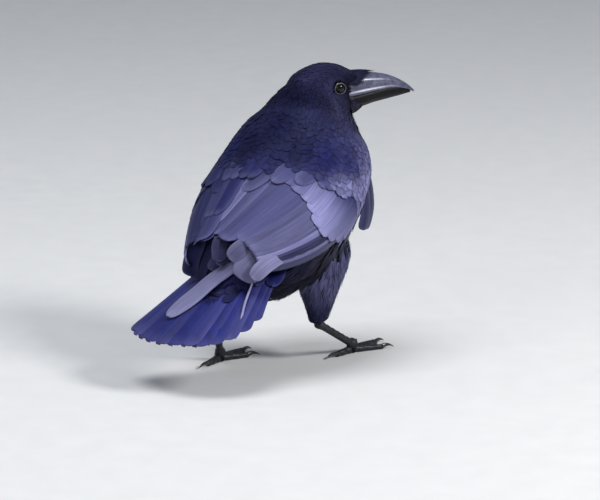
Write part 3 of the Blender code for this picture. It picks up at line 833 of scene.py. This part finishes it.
def make_wing(side):
    surface = wing_surface(side)
    flight, coverts = Bundle(), Bundle()
    sheet = patches(7, 8)
    right = side == "right"
    # Painted shade: on the left wing, away from the key light, pale edges and paleness are cut down so that it reads
    # darker than the right.
    edge = 0.14 if right else 0.05
    # Primaries: long narrow feathers stacked along the lower edge, the outermost lowest.
    for k in range(9):
        lay_vane(
            flight, surface, (2.2, 0.90 - 0.012 * k), (6.25 - 0.1 * k, 0.765 - 0.014 * k), 4.6,
            above=(-5.4 + 0.3 * k, -4.6 + 0.34 * k), shoulder=0.6, uneven=0.2, tone=0.7 + 0.1 * (k % 3),
            blue=0.4, pale=0.08 + 0.14 * (k % 2), patch=next(sheet), nicks=2, rows=28, bow=-0.02, camber=0.5,
        )
    # Secondaries: a stack of narrow visible strips below the tertials, each lying a little over the next.
    # Their paleness alternates from strip to strip: partly feather colour, partly a painted highlight along the strips.
    shades = (
        (0.75, 0.26), (1.1, 0.52), (0.85, 0.34), (1.15, 0.62), (0.9, 0.38), (0.7, 0.52), (1.0, 0.36), (0.9, 0.3),
    )
    for k, (tone, pale) in enumerate(shades):
        share = 0.85 - 0.052 * k
        lay_vane(
            flight, surface, (2.4, share), (6.12 - 0.07 * k, share - 0.09 - 0.006 * k), 4.6 + 0.35 * k,
            above=(-3.4 + 0.22 * k, -2.6 + 0.30 * k), bow=0.012 * (k % 3 - 1), tone=tone,
            blue=0.6, pale=pale, patch=next(sheet), nicks=2, rows=28, tip_power=2.6, camber=1.5, thickness=0.3,
        )
    # Inner feathers that close the wing against the back, under the tertials.
    for k in range(3):
        lay_vane(
            flight, surface, (2.6, 0.05 + 0.12 * k), (5.5, 0.0 + 0.1 * k), 9.0, above=(-3.4, -2.6), shoulder=0.85,
            tone=0.8, blue=0.8, pale=0.15, patch=next(sheet), camber=0.7,
        )
    # Tertials: the broad smooth panel over the closed wing, the innermost on top.
    panel = (
        (2.5, 0.40, 5.5, 0.24 if right else 0.34, 12.0, -0.7, 0.84, 0.24),
        (2.5, 0.26, 5.68, 0.12 if right else 0.2, 13.0, -0.3, 0.84, 0.20),
        (2.4, 0.09, 5.42, -0.03 if right else 0.08, 11.5, 0.1, 0.84, 0.28),
        (2.3, 0.0, 5.0, -0.08 if right else 0.0, 8.8, 1.4 if right else 0.7, 0.76, 0.5),
    )
    # The left wing's tertials keep a fifth of their paleness: painted shade.
    for at, share, tip_at, tip_share, half_width, height, shoulder, pale in panel:
        lay_vane(
            flight, surface, (at, share), (tip_at, tip_share), half_width, above=(-1.6 + height, height),
            shoulder=shoulder, base=0.85, pale=pale if right else 0.2 * pale, patch=next(sheet), nicks=1, rows=34,
            tip_power=2.3, ridge=0.12, edge=edge,
        )
    # Greater coverts: long smooth feathers that lie as one sheet, with the lower ends apart.
    reach = (
        (0.08, 3.05), (0.16, 3.15), (0.24, 3.25), (0.33, 3.35), (0.42, 3.42), (0.50, 3.55), (0.58, 3.72),
        (0.66, 3.72), (0.74, 3.55), (0.81, 3.3), (0.88, 2.95), (0.94, 2.6),
    )
    # Painted light: the right wing keeps the full paleness, the shaded left wing only a small share of it.
    wear_and_highlight = 1 if right else 0.15
    for k, (share, tip_at) in enumerate(reach):
        low = smooth_step(share, 0.5, 0.7)
        # The paleness, strongest in a band across the middle of the coverts, is mostly a painted highlight.
        pale = 0.22 + 0.66 * smooth_step(share, 0.22, 0.5) - 0.42 * smooth_step(share, 0.62, 0.85)
        lay_vane(
            coverts, surface, (1.5 - 0.9 * share, share + 0.03), (tip_at, share), 8.6 - 2.4 * low,
            above=(-1.9, -0.5 - 0.3 * low), base=0.85, tone=1.0 + 0.05 * (k % 2), pale=pale * wear_and_highlight,
            camber=0.35, ridge=0.08, rows=24, tip_power=3.0, fade=(0.4, 0.95), edge=edge,
        )
    # Median coverts: a row of round feathers between the small ones of the shoulder and the greater coverts.
    # As on the greater coverts, the left wing keeps only a small share of their paleness: painted shade.
    for k in range(9):
        share = 0.93 - 0.062 * k
        tip_at = coat_edge(share) + 0.42
        lay_vane(
            coverts, surface, (tip_at - 1.1, share + 0.02), (tip_at, share), 6.4, shoulder=0.55, base=0.75,
            above=(-1.9, -0.35 - 0.2 * (share > 0.6)), tone=0.95 + 0.08 * (k % 2), pale=(0.22 + 0.2 * share) * wear_and_highlight,
            camber=0.5, ridge=0.06, tip_power=2.3, fade=(0.35, 0.95), edge=0.1,
        )
    # Scapulars: broad round feathers from the shoulder down over the tertials.
    ends = (
        (1.5, 0.50, 2.85, 0.43, 8.5, 0.16), (1.6, 0.38, 3.15, 0.29, 10.0, 0.22), (1.9, 0.25, 3.35, 0.15, 10.5, 0.26),
        (1.9, 0.10, 3.7, 0.0, 12.0, 0.28), (1.6, -0.04, 3.35, -0.13, 10.0, 0.16),
    )
    # The left wing's scapulars keep a fifth of their paleness and a fainter pale edge: painted shade.
    for k, (at, share, tip_at, tip_share, half_width, pale) in enumerate(ends):
        lay_vane(
            coverts, surface, (at, share), (tip_at, tip_share), half_width, shoulder=0.5, base=0.7, tone=0.95,
            above=(-1.6, (0.6 if right else 1.5) + 0.12 * k), pale=pale if right else 0.2 * pale, camber=0.8,
            ridge=0.08, rows=22, edge=0.2 if right else 0.08, fade=(0.3, 0.95),
        )
    made = [flight.make(f"flight_feathers_{side}", flight_finish)]
    made.append(coverts.make(f"wing_covert_feathers_{side}", flight_finish))
    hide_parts(f"wing_tertials_{side}", f"wing_primaries_{side}")
    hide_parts(f"wing_coverts_{side}")
    return made


def on_wing(points, side):
    """Where points are on the folded wing: place along it and share across it."""
    at, share = np.meshgrid(np.linspace(0, 4.5, 91), np.linspace(-0.1, 1.05, 70), indexing="ij")
    grid = wing_surface(side)(at, share).reshape(-1, 3)
    nearest = np.array([np.argmin(((grid - point) ** 2).sum(1)) for point in points])
    return at.ravel()[nearest], share.ravel()[nearest]


def make_mantle():
    """Small feathers between the wings, over long scapulars that run on down the back."""

    def kept(points):
        return on_wing(points, "right")[0] < 2.7

    coat = make_coat("mantle_coat", (saddle.data,), body_lie, density=5.5, raised=0.35, kept_places=kept)
    bundle = Bundle()
    sheet = patches(4, 4)
    for k, turn in enumerate((1.0, 0.65, 0.35, 0.1, 1.0, 0.6, 0.2, -0.2, 0.8, 0.35, -0.1, -0.5)):
        row = k // 4
        beside_wing = k in (3, 7)
        lay_vane(
            bundle, back_surface, (3.3 - 1.1 * row, turn), (5.9 - 1.3 * row, turn * 0.75), 7.5 if beside_wing else 9.5,
            above=(-3.4 if beside_wing else -1.4, 0.5 * row - (2.4 if beside_wing else 0.3)), shoulder=0.6,
            tone=0.95 + 0.3 * rng.random(), pale=0.05 + 0.10 * (turn > 0.3), ridge=0.12,
            patch=next(sheet),
        )
    return [coat, bundle.make("back_feathers", plumage)]


def coat_edge(share):
    """How far down the wing the small feathers of the shoulder reach."""
    return 2.8 - 1.35 * share + 0.45 * smooth_step(share, 0.7, 1.0)


def make_shoulder_coat(side):
    """Mantle feathers over the top of the wing and small coverts round its bend."""

    def kept(points):
        at, share = on_wing(points, side)
        return at < np.maximum(np.minimum(3.1 - 4.4 * (share - 0.41), 2.9), coat_edge(share))

    meshes = (nodes[f"wing_coverts_{side}"].data,)
    # Painted shade: the left shoulder keeps less of its paleness than the right, which faces the key light.
    raised, wear_and_highlight_share = (0.8, 0.4) if side == "left" else (0.7, 1.0)
    return make_coat(
        f"shoulder_coat_{side}", meshes, body_lie, density=5.5, raised=raised, wear_and_highlight_share=wear_and_highlight_share, kept_places=kept
    )


def make_tail_feathers():
    bundle = Bundle()
    sheet = patches(5, 4)
    last = len(TAIL_TIPS) - 1
    for k in sorted(range(last + 1), key=lambda k: -abs(k - last / 2)):
        turn, reach, pale = TAIL_TIPS[k]
        place = 2 * k / last - 1
        out = abs(place)
        height = 1.5 - 3.4 * out
        lay_vane(
            bundle, tail_surface, (92, turn * 0.86), (reach, turn), 9.4, above=(height * 0.5, height),
            base=0.5, uneven=0.22 * math.copysign(1, -place) * out, tip_power=2.6, ridge=0.3, rows=34,
            tone=0.85 + 0.3 * rng.random(), pale=pale, patch=next(sheet), nicks=1, twist=0.6,
        )
    # Upper tail coverts: shorter feathers over the base of the tail, on the same cells of the sheet.
    sheet = patches(5, 4)
    for k in range(13):
        row, place = k % 2, (k % 7 - 3) / 3
        turn = place * TAIL_HALF_FAN * 1.05 + 2 * row
        lay_vane(
            bundle, tail_surface, (62 - 6 * row, turn * 0.8), (136 - 16 * row - 8 * abs(place), turn), 9.0,
            above=(0.5, 2.6 + 0.9 * row - 2.2 * abs(place)), shoulder=0.62, base=0.6, tone=0.8 + 0.2 * rng.random(),
            blue=0.9, pale=0.02 + 0.05 * row, ridge=0.12, rows=18, patch=next(sheet), nicks=1,
        )
    made = bundle.make("tail_feathers", tail_finish)
    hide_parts("tail")
    return made


def make_loose_feathers():
    bundle = Bundle()
    sheet = patches(4, 4)
    for line, outward, half_width, pale, tip_power in HANGING:
        lay_vane(
            bundle, ribbon(line, outward), (0, 0), (1, 0), half_width, above=(-0.4, 0.2), shoulder=0.74,
            tip_power=tip_power, blue=0.7, pale=pale, patch=next(sheet), rows=36, camber=1.2, ridge=0.2,
        )
    return bundle.make("worn_feathers", worn_finish)


# ---------------------------------------------------------------- head


def make_bill_half(name, rows, finish, upper):
    along, around = 120, 96
    forward, high, low, half_width = between(rows, np.linspace(0, len(rows) - 1, along)).T
    high, low = (high, low - 0.4) if upper else (high + 1.4, low)
    turn = ring(around)
    # Round away from the mouth, square where the two halves meet.
    meets = np.cos(turn) < 0 if upper else np.cos(turn) > 0
    power = np.where(meets, 2 / 5, 2 / 2.4)
    across = np.sign(np.sin(turn)) * np.abs(np.sin(turn)) ** power
    above = np.sign(np.cos(turn)) * np.abs(np.cos(turn)) ** power
    across *= 1 - (0.30 if upper else 0.25) * smooth_step(above if upper else -above, 0.0, 1.0)
    side = half_width[:, None] * across
    level = ((high + low) / 2)[:, None] + ((high - low) / 2)[:, None] * above
    down = (high[:, None] - level) / (high - low)[:, None]
    if upper:
        # The side is drawn in below the ridge and flares again towards the cutting edge.
        flare = 0.19 * smooth_step(down, 0.70, 0.96) - 0.08 * np.exp(-(((down - 0.46) / 0.13) ** 2))
        side += half_width[:, None] * np.sign(side) * flare
    else:
        side *= 1 - 0.05 * (1 - smooth_step(down, 0.05, 0.28))
    points = EYE_LINE + forward[:, None, None] * AHEAD + side[..., None] * RIGHT + level[..., None] * UP
    made = tubes(name + "_horn", finish, points)
    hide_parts(name)
    return made


def make_eyeball(name, sign):
    """A round eyeball with a slightly bulging clear front."""
    along, around = 39, 48
    out, turn = RIGHT * -sign, ring(around)
    tilt = np.linspace(0, math.pi * 0.92, along + 1)[1:]
    size = EYE_RADIUS + 0.25 * (1 - smooth_step(tilt, 0.35, 0.75))
    rim = np.cos(turn)[:, None] * AHEAD + np.sin(turn)[:, None] * UP
    centre = eye_centre(sign)
    rings = (size * np.sin(tilt))[:, None, None] * rim + (size * np.cos(tilt))[:, None, None] * out
    points = np.concatenate((centre + rings.reshape(-1, 3), (centre + out * size[0])[None]))
    last = along * around
    caps = [(last, (i + 1) % around, i) for i in range(around)] + [tuple(range(last - around, last))[::-1]]
    made = mesh_object(f"eyeball_{name}", points, grid_quads(along, around, True), eye_finish, caps)
    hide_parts(f"eye_{name}")
    return made


def make_lid(name, sign):
    """The bare lid: a ring round the eye, with fine creases."""
    around, through = 64, 12
    out, turn = RIGHT * -sign, ring(around)[:, None]
    roll = ring(through)
    thick = 0.42 + 0.04 * np.sin(turn * 9)
    reach = LID_RADIUS + 0.18 * np.cos(2 * turn) + thick * np.cos(roll) * 0.8
    level = math.sqrt(EYE_RADIUS**2 - 4.1**2) + 0.4 + thick * np.sin(roll)
    spoke = AHEAD * np.cos(turn) + UP * np.sin(turn)
    points = eye_centre(sign) + spoke[:, None] * reach[..., None] + out * level[..., None]
    quads = grid_quads(around + 1, through, True) % (around * through)
    return mesh_object(f"eyelids_{name}", points.reshape(-1, 3), quads, lid_finish)


def make_bristles():
    """Stiff bristles that lie forward from the forehead over the nostrils and the top of the bill."""
    bundle = Bundle()
    rows = between(UPPER_BILL_ROWS, np.linspace(0, len(UPPER_BILL_ROWS) - 1, 80))
    v = np.linspace(0, 1, FEATHER_ROWS)
    thin = (0.30 * (1 - v) + 0.05)[:, None]
    for _ in range(BRISTLES):
        turn = rng.uniform(-1.35, 1.35)
        start = rng.uniform(12, 30 - 9 * abs(turn))
        length = rng.uniform(5, 14) * (1 - 0.3 * abs(turn))
        forward = start + length * v
        turns = turn + rng.normal(0, 0.08) * v + 0.12 * turn * v
        high, low, wide = (np.interp(forward, rows[:, 0], rows[:, k]) for k in (1, 2, 3))
        lift = 0.9 - 0.3 * v + rng.uniform(0, 0.9) + 0.5 * v**2 * rng.random()
        side = (wide + lift) * np.sin(turns)
        level = (high + low) / 2 + ((high - low) / 2 + lift) * np.cos(turns)
        spine = head_point(forward, side, level)
        normal = unit(np.sin(turns)[:, None] * RIGHT + np.cos(turns)[:, None] * UP)
        across = unit(np.cross(normal, np.gradient(spine, axis=0)))
        add_vane(
            bundle, spine, across, normal, thin * BARB, thin * 0.6 * (1 - BARB**2), BARB, v, thin * BARB,
            (v * length)[:, None], rng.uniform(0.7, 1.3), 0.15, 0.03, rng.random(), root=spine[0],
        )
    return bundle.make("nasal_bristles", plumage)


# ---------------------------------------------------------------- legs


def make_shank(side):
    """The scaly shank, with a knob at the heel, plates down its front and a rounded end inside the foot."""
    heel, foot = np.array(HEEL[side], float), np.array((*FOOT[side], 7.0))
    v, turn = np.linspace(0, 1, 90), ring(24)
    axis = unit(foot - heel)
    front = unit(np.array((1.0, 0, 0.2)) - axis * np.dot(np.array((1.0, 0, 0.2)), axis))
    across = np.cross(axis, front)
    facing = np.cos(turn)
    radius = 3.0 + 1.5 * np.exp(-((v / 0.12) ** 2)) + 1.9 * smooth_step(v, 0.80, 0.92)
    ends = smooth_step(v, -0.02, 0.05) * np.sqrt(np.clip(1 - (np.maximum(v - 0.93, 0) / 0.0702) ** 2, 0, 1))
    plate = 0.42 * (1 - (v * 8) % 1) ** 1.5
    swell = radius[:, None] * (1 - 0.12 * np.abs(np.sin(turn))) + plate[:, None] * smooth_step(facing, -0.1, 0.5)
    swell += 0.10 * np.sin(v * 90)[:, None] * smooth_step(-facing, 0.2, 0.8)
    swell *= ends[:, None]
    spine = heel + (foot - heel) * (v[:, None] * 1.17 - 0.07)
    points = spine[:, None] + (front * facing[:, None] + across * np.sin(turn)[:, None]) * swell[..., None]
    points[..., 2] = np.maximum(points[..., 2], 0.1)
    made = tubes(f"scaly_shank_{side}", scales, points)
    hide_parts(f"shank_{side}")
    return made


def toe_axes(side, yaw):
    """The way a toe points, and its left."""
    turn = math.radians(FOOT_YAW[side] - SIDES[side] * yaw)
    return np.array((math.cos(turn), math.sin(turn), 0)), np.array((-math.sin(turn), math.cos(turn), 0))


def make_toes(side):
    """Four toes on the floor: overlapping plates above, pads and a flat sole below."""
    parts = []
    v, turn = np.linspace(0, 1, 72), ring(20)
    top = smooth_step(np.cos(turn), 0.1, 0.7)
    tip = (1 - 0.35 * smooth_step(v, 0.93, 1.0))[:, None]
    pad = 1 + 0.12 * np.cos(v * 3 * math.tau)
    for _, yaw, length, half_width, _ in TOES:
        ahead, across = toe_axes(side, yaw)
        width = half_width * (1 - 0.38 * v) * pad
        height = 2 * half_width * (1 - 0.35 * v) * 0.86
        plates = (v * length / 2.6) % 1
        level = height[:, None] / 2 * (1 + 1.25 * np.cos(turn)) + 0.3 * (1 - plates[:, None]) ** 1.3 * top
        reach = length * v - (1 - v) * 3
        points = np.array((*FOOT[side], 0.0)) + ahead * reach[:, None, None]
        points = points + across * (width[:, None] * tip * np.sin(turn))[..., None]
        parts.append(points + UP * (np.maximum(level, 0) * tip)[..., None])
    made = tubes(f"toes_{side}", scales, *parts)
    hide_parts(f"foot_{side}")
    return made


def make_claws(side):
    made = []
    v, turn = np.linspace(0, 1, 28), ring(16)
    size = 1.9 * (1 - v) ** 0.9 + 0.2
    level = np.maximum(2.2 + 2.2 * np.sin(v * math.pi * 0.62) - 3.4 * v**2, size + 0.02)
    for name, yaw, toe, _, length in TOES:
        ahead, across = toe_axes(side, yaw)
        reach = toe - 0.8 + (length + 0.8) * v
        centre = np.array((*FOOT[side], 0.0)) + ahead * reach[:, None] + UP * level[:, None]
        rim = across * (0.72 * np.sin(turn))[:, None] + UP * np.cos(turn)[:, None]
        made.append(tubes(f"claw_horn_{name}_{side}", claw_finish, centre[:, None] + rim * size[:, None, None]))
        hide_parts(f"claw_{name}_{side}")
    return made


# ---------------------------------------------------------------- materials


class Wiring:
    """Short names for adding nodes to a tree."""

    def __init__(self, tree):
        self.tree = tree

    def node(self, kind, values=(), **settings):
        """A node with its settings, and with constants or links for its inputs."""
        made = self.tree.nodes.new("ShaderNode" + kind)
        for name, value in settings.items():
            setattr(made, name, value)
        self.feed(made, values)
        return made

    def feed(self, node, values):
        """Gives a node's inputs, by place or by name, their values or links."""
        for key, value in values.items() if isinstance(values, dict) else enumerate(values):
            if isinstance(value, bpy.types.NodeSocket):
                self.tree.links.new(value, node.inputs[key])
            else:
                node.inputs[key].default_value = value

    def math(self, operation, *values):
        return self.node("Math", values, operation=operation).outputs[0]

    def times(self, first, second):
        return self.math("MULTIPLY", first, second)

    def mix(self, share, *colours):
        first, second = (c if isinstance(c, bpy.types.NodeSocket) else (*c, 1) for c in colours)
        return self.node("Mix", {0: share, 6: first, 7: second}, data_type="RGBA").outputs[2]

    def fact(self, name):
        return self.node("Attribute", attribute_name=name).outputs["Fac"]

    def noise(self, scale, detail, vector, rough=0.5):
        values = {"Scale": scale, "Detail": detail, "Roughness": rough, "Vector": vector}
        return self.node("TexNoise", values).outputs["Fac"]

    def ranged(self, value, *limits):
        """A value moved from one range (low, high) to another."""
        return self.node("MapRange", (value, *limits)).outputs[0]

    def vector(self, *values):
        return self.node("CombineXYZ", values).outputs[0]

    def vector_math(self, operation, *values):
        return self.node("VectorMath", values, operation=operation).outputs

    def bump(self, height, strength, distance):
        values = {"Strength": strength, "Distance": distance, "Height": height}
        return self.node("Bump", values).outputs[0]


def material(name):
    """A new material, the wiring of its tree, and its surface node."""
    made = bpy.data.materials.new(name)
    made.use_nodes = True
    return made, Wiring(made.node_tree), made.node_tree.nodes["Principled BSDF"]


def feather_group():
    """Colour, roughness and height of a feather from its facts: barbs, gloss, pale wear and painted highlight, and pale
    edges.
    """
    group = bpy.data.node_groups.new("feather_surface", "ShaderNodeTree")
    for direction, kind, labels in (
        ("INPUT", "Color", ("Dull", "Gloss", "WearAndHighlight")),
        ("OUTPUT", "Color", ("Colour",)),
        ("OUTPUT", "Float", ("Roughness", "Height")),
    ):
        for label in labels:
            group.interface.new_socket(label, in_out=direction, socket_type="NodeSocket" + kind)
    w = Wiring(group)
    given = group.nodes.new("NodeGroupInput").outputs
    across, along, seed, wear_and_highlight = (w.fact(name) for name in ("across", "along", "seed", "pale"))
    slant = w.math("SUBTRACT", along, w.times(w.math("ABSOLUTE", across), 0.9))
    fine = w.noise(1.0, 3.0, w.vector(w.times(slant, 3.2), w.times(across, 0.12), w.times(seed, 60)), 0.6)
    streaks = w.noise(1.0, 2.0, w.vector(w.times(along, 0.035), w.times(across, 0.55), w.times(seed, 35)))
    mottled = w.noise(1.0, 3.0, w.vector(w.times(slant, 0.12), w.times(across, 0.12), w.times(seed, 90)))
    blue = w.times(w.fact("blue"), w.ranged(mottled, 0.3, 0.7, 0.65, 1.15))
    colour = w.mix(w.math("MINIMUM", blue, 1.0), given["Dull"], given["Gloss"])
    # Paleness mixes in the third colour, which stands for both wear and a painted highlight.
    pale = w.times(wear_and_highlight, w.ranged(streaks, 0.32, 0.68, 0.88, 1.12))
    colour = w.mix(w.math("MINIMUM", pale, 1.0), colour, given["WearAndHighlight"])
    shade = w.times(w.fact("tone"), w.ranged(fine, 0.3, 0.7, 0.93, 1.07))
    shade = w.times(shade, w.ranged(streaks, 0.3, 0.7, 0.95, 1.05))
    scaled = w.node("VectorMath", {0: colour, "Scale": shade}, operation="SCALE").outputs[0]
    rough = w.math("ADD", w.ranged(fine, 0.3, 0.7, 0.42, 0.54), w.times(wear_and_highlight, 0.1))
    height = w.math("ADD", w.times(w.math("SINE", w.times(slant, 9.0)), 0.18), fine)
    w.feed(group.nodes.new("NodeGroupOutput"), {"Colour": scaled, "Roughness": rough, "Height": height})
    return group


def feather_finish(name, dull, gloss, wear_and_highlight, bump, specular):
    made, w, surface = material(name)
    colours = {label: (*colour, 1) for label, colour in (("Dull", dull), ("Gloss", gloss), ("WearAndHighlight", wear_and_highlight))}
    shared = w.node("Group", colours, node_tree=feather).outputs
    w.feed(surface, {
        "Base Color": shared["Colour"],
        "Roughness": shared["Roughness"],
        "Normal": w.bump(shared["Height"], bump, 0.0001),
        "Specular IOR Level": specular,
        "Specular Tint": BLUE_SHEEN,
    })
    return made


def hard_finish(name, dark, light, roughness, scale, bump, coat=0.0, specular=0.5, tint=(1, 1, 1, 1)):
    """Horn, scale or skin: two colours in a fine noise over the object's own coordinates."""
    made, w, surface = material(name)
    place = w.node("TexCoord").outputs["Object"]
    grain = w.noise(scale, 4.0, place, 0.6)
    colour = w.mix(w.ranged(grain, 0.35, 0.65, 0.0, 1.0), dark, light)
    colour = w.mix(w.ranged(w.noise(scale * 0.12, 2.0, place), 0.4, 0.7, 0.0, 0.5), colour, dark)
    w.feed(surface, {
        "Base Color": colour,
        "Roughness": w.ranged(grain, 0.3, 0.7, roughness - 0.06, roughness + 0.08),
        "Normal": w.bump(grain, bump, 0.0003),
        "Coat Weight": coat,
        "Coat Roughness": 0.12,
        "Specular IOR Level": specular,
        "Specular Tint": tint,
    })
    return made


def wet_eye():
    """Dark brown iris round a black pupil, under a clear wet front."""
    made, w, surface = material("crow_eye")
    place = w.node("TexCoord").outputs["Object"]
    rings = []
    for sign in SIDES.values():
        offset = w.vector_math("SUBTRACT", place, eye_centre(sign) * MM + shift)[0]
        away = w.vector_math("LENGTH", offset)["Value"]
        radius = w.vector_math("LENGTH", w.vector_math("CROSS_PRODUCT", offset, RIGHT)[0])["Value"]
        rings.append(w.math("ADD", radius, w.math("GREATER_THAN", away, 0.01)))
    radius = w.math("MINIMUM", *rings)
    fibres = w.ranged(w.noise(900.0, 3.0, place), 0.3, 0.7, 0, 1)
    iris = w.mix(fibres, (0.002, 0.0015, 0.001), (0.006, 0.004, 0.003))
    colour = w.mix(w.ranged(radius, 0.0021, 0.0023, 0.0, 1.0), PUPIL, iris)
    colour = w.mix(w.ranged(radius, 0.0036, 0.0042, 0.0, 1.0), colour, PUPIL)
    w.feed(surface, {"Base Color": colour, "Roughness": 0.06, "Specular IOR Level": 0.3})
    return made


# ---------------------------------------------------------------- stage


def aim(obj, place, target):
    obj.location = place
    obj.rotation_euler = (Vector(target) - Vector(place)).to_track_quat("-Z", "Y").to_euler()


def make_light(name, place, size, energy, colour):
    light = bpy.data.lights.new(name, "AREA")
    light.shape = "DISK"
    light.size = size
    light.energy = energy
    light.color = colour
    aim(placed(name, light), place, (0.0, 0.0, 0.12))


def make_stage():
    mesh = bpy.data.meshes.new("floor")
    mesh.from_pydata([(-9, -9, 0), (9, -9, 0), (9, 9, 0), (-9, 9, 0)], [], [(0, 1, 2, 3)])
    mesh.materials.append(hard_finish("pale_floor", (0.64, 0.64, 0.63), (0.66, 0.66, 0.65), 0.7, 40.0, 0.02))
    floor = placed("floor", mesh)
    world = bpy.data.worlds.new("studio")
    world.use_nodes = True
    sky = world.node_tree.nodes["Background"].inputs
    sky["Color"].default_value = (0.80, 0.86, 1.0, 1)
    sky["Strength"].default_value = 0.30
    bpy.context.scene.world = world
    make_light("key", (0.1, -2.0, 1.5), 0.8, 50, (1.0, 0.99, 0.98))
    make_light("top", (-0.4, 0.3, 2.3), 1.3, 36, (0.95, 0.97, 1.0))
    make_light("fill", (-2.2, 0.2, 1.0), 1.0, 6, (0.95, 0.97, 1.0))


def make_camera():
    lens = bpy.data.cameras.new("camera")
    lens.sensor_width = 36
    lens.lens = 36 * CAMERA_DISTANCE / FRAME_WIDTH
    lens.clip_end = 60
    camera = placed("camera", lens)
    turn, tilt = math.radians(CAMERA_AZIMUTH), math.radians(CAMERA_ELEVATION)
    back = Vector((math.sin(turn) * math.cos(tilt), -math.cos(turn) * math.cos(tilt), math.sin(tilt)))
    target = Vector(CAMERA_AIM * MM + shift)
    aim(camera, target + back * CAMERA_DISTANCE, target)
    bpy.context.scene.camera = camera


# ---------------------------------------------------------------- all together


rng = np.random.default_rng(7)
eye_low, eye_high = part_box("eye_right")
shift = (np.array(eye_low) + np.array(eye_high)) / 2 - head_point(0, EYE_SIDE, EYE_HEIGHT) * MM

bpy.context.scene.view_settings.view_transform = "Standard"
make_camera()
make_stage()

feather = feather_group()
# The third colour of each finish, mixed in by the pale fact, is the pale of wear and a painted highlight in one.
plumage, flight_finish = (
    feather_finish(name, (0.004, 0.0035, 0.006), (0.006, 0.008, 0.062), (0.22, 0.215, 0.40), bump, specular)
    for name, bump, specular in (("plumage", 0.2, 0.12), ("flight_plumage", 0.15, 0.3))
)
tail_finish = feather_finish(
    "tail_plumage", (0.008, 0.008, 0.012), (0.008, 0.013, 0.115), (0.18, 0.17, 0.32), 0.15, 0.2
)
worn_finish = feather_finish(
    "worn_plumage", (0.008, 0.007, 0.010), (0.008, 0.009, 0.055), (0.26, 0.255, 0.42), 0.15, 0.25
)
# Painted reflection: the upper half's horn is a lighter blue-grey than the near-black lower half, standing for bright
# sky on black horn.
horn = hard_finish(
    "bill_horn_finish", (0.036, 0.036, 0.062), (0.080, 0.082, 0.142), 0.31, 260.0, 0.08, specular=1.0,
    tint=(0.85, 0.86, 1.0, 1),
)
low_horn = hard_finish(
    "lower_bill_finish", (0.004, 0.004, 0.005), (0.008, 0.008, 0.010), 0.42, 260.0, 0.10, specular=0.12
)
scales = hard_finish("leg_scale_finish", (0.005, 0.005, 0.007), (0.019, 0.021, 0.029), 0.42, 500.0, 0.5, specular=0.3)
claw_finish = hard_finish("claw_finish", (0.008, 0.008, 0.009), (0.02, 0.02, 0.022), 0.28, 300.0, 0.1, coat=0.2)
lid_finish = hard_finish("lid_finish", (0.045, 0.046, 0.054), (0.15, 0.15, 0.175), 0.5, 700.0, 0.3)
skin_finish = hard_finish("skin_finish", (0.006, 0.006, 0.009), (0.012, 0.012, 0.022), 0.7, 300.0, 0.3)
eye_finish = wet_eye()

saddle, throat = back_saddle(), throat_fullness()
form = fused(FLESH + WINGS + ("tail",), "coat_form", 1.5, 0, (saddle.data, throat.data))
draw_in_face(form, OVER_BILL)
outer = BVHTree.FromPolygons(points_of(form.data).tolist(), [tuple(p.vertices) for p in form.data.polygons])
skin = fused(FLESH + WINGS[:2], "skin", 1.8, COAT_DEPTH, (saddle.data, throat.data))
draw_in_face(skin, UNDER_BILL)
skin.data.materials.clear()
skin.data.materials.append(skin_finish)
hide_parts(*FLESH)

body_lie, thigh_lie = lie_table(), thigh_table()
face = joined(("head",), "face", (throat.data,))
draw_in_face(face, OVER_BILL)
pieces = [
    skin,
    make_coat("head_coat", (face.data,), body_lie, density=4.6, kept_places=behind_bill, blueness=0.75),
    make_coat("neck_coat", (nodes["neck"].data,), body_lie, density=4.6, blueness=0.7),
    make_coat("trunk_coat", (nodes["trunk"].data,), body_lie),
    *make_mantle(),
    make_coat("leg_coat", [nodes[f"thigh_{side}"].data for side in SIDES], thigh_lie),
]
for helper in (form, saddle, throat, face):
    bpy.data.objects.remove(helper)
for side in SIDES:
    pieces += [*make_wing(side), make_shoulder_coat(side)]
pieces += [
    make_tail_feathers(),
    make_loose_feathers(),
    make_bristles(),
    make_bill_half("bill_upper", UPPER_BILL_ROWS, horn, True),
    make_bill_half("bill_lower", LOWER_BILL_ROWS, low_horn, False),
]
pieces += [make_lid(name, sign) for name, sign in SIDES.items()]
for side in SIDES:
    pieces += [make_shank(side), make_toes(side), *make_claws(side)]
pieces += [make_eyeball(name, sign) for name, sign in SIDES.items()]
for piece in pieces:
    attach(piece, "root")
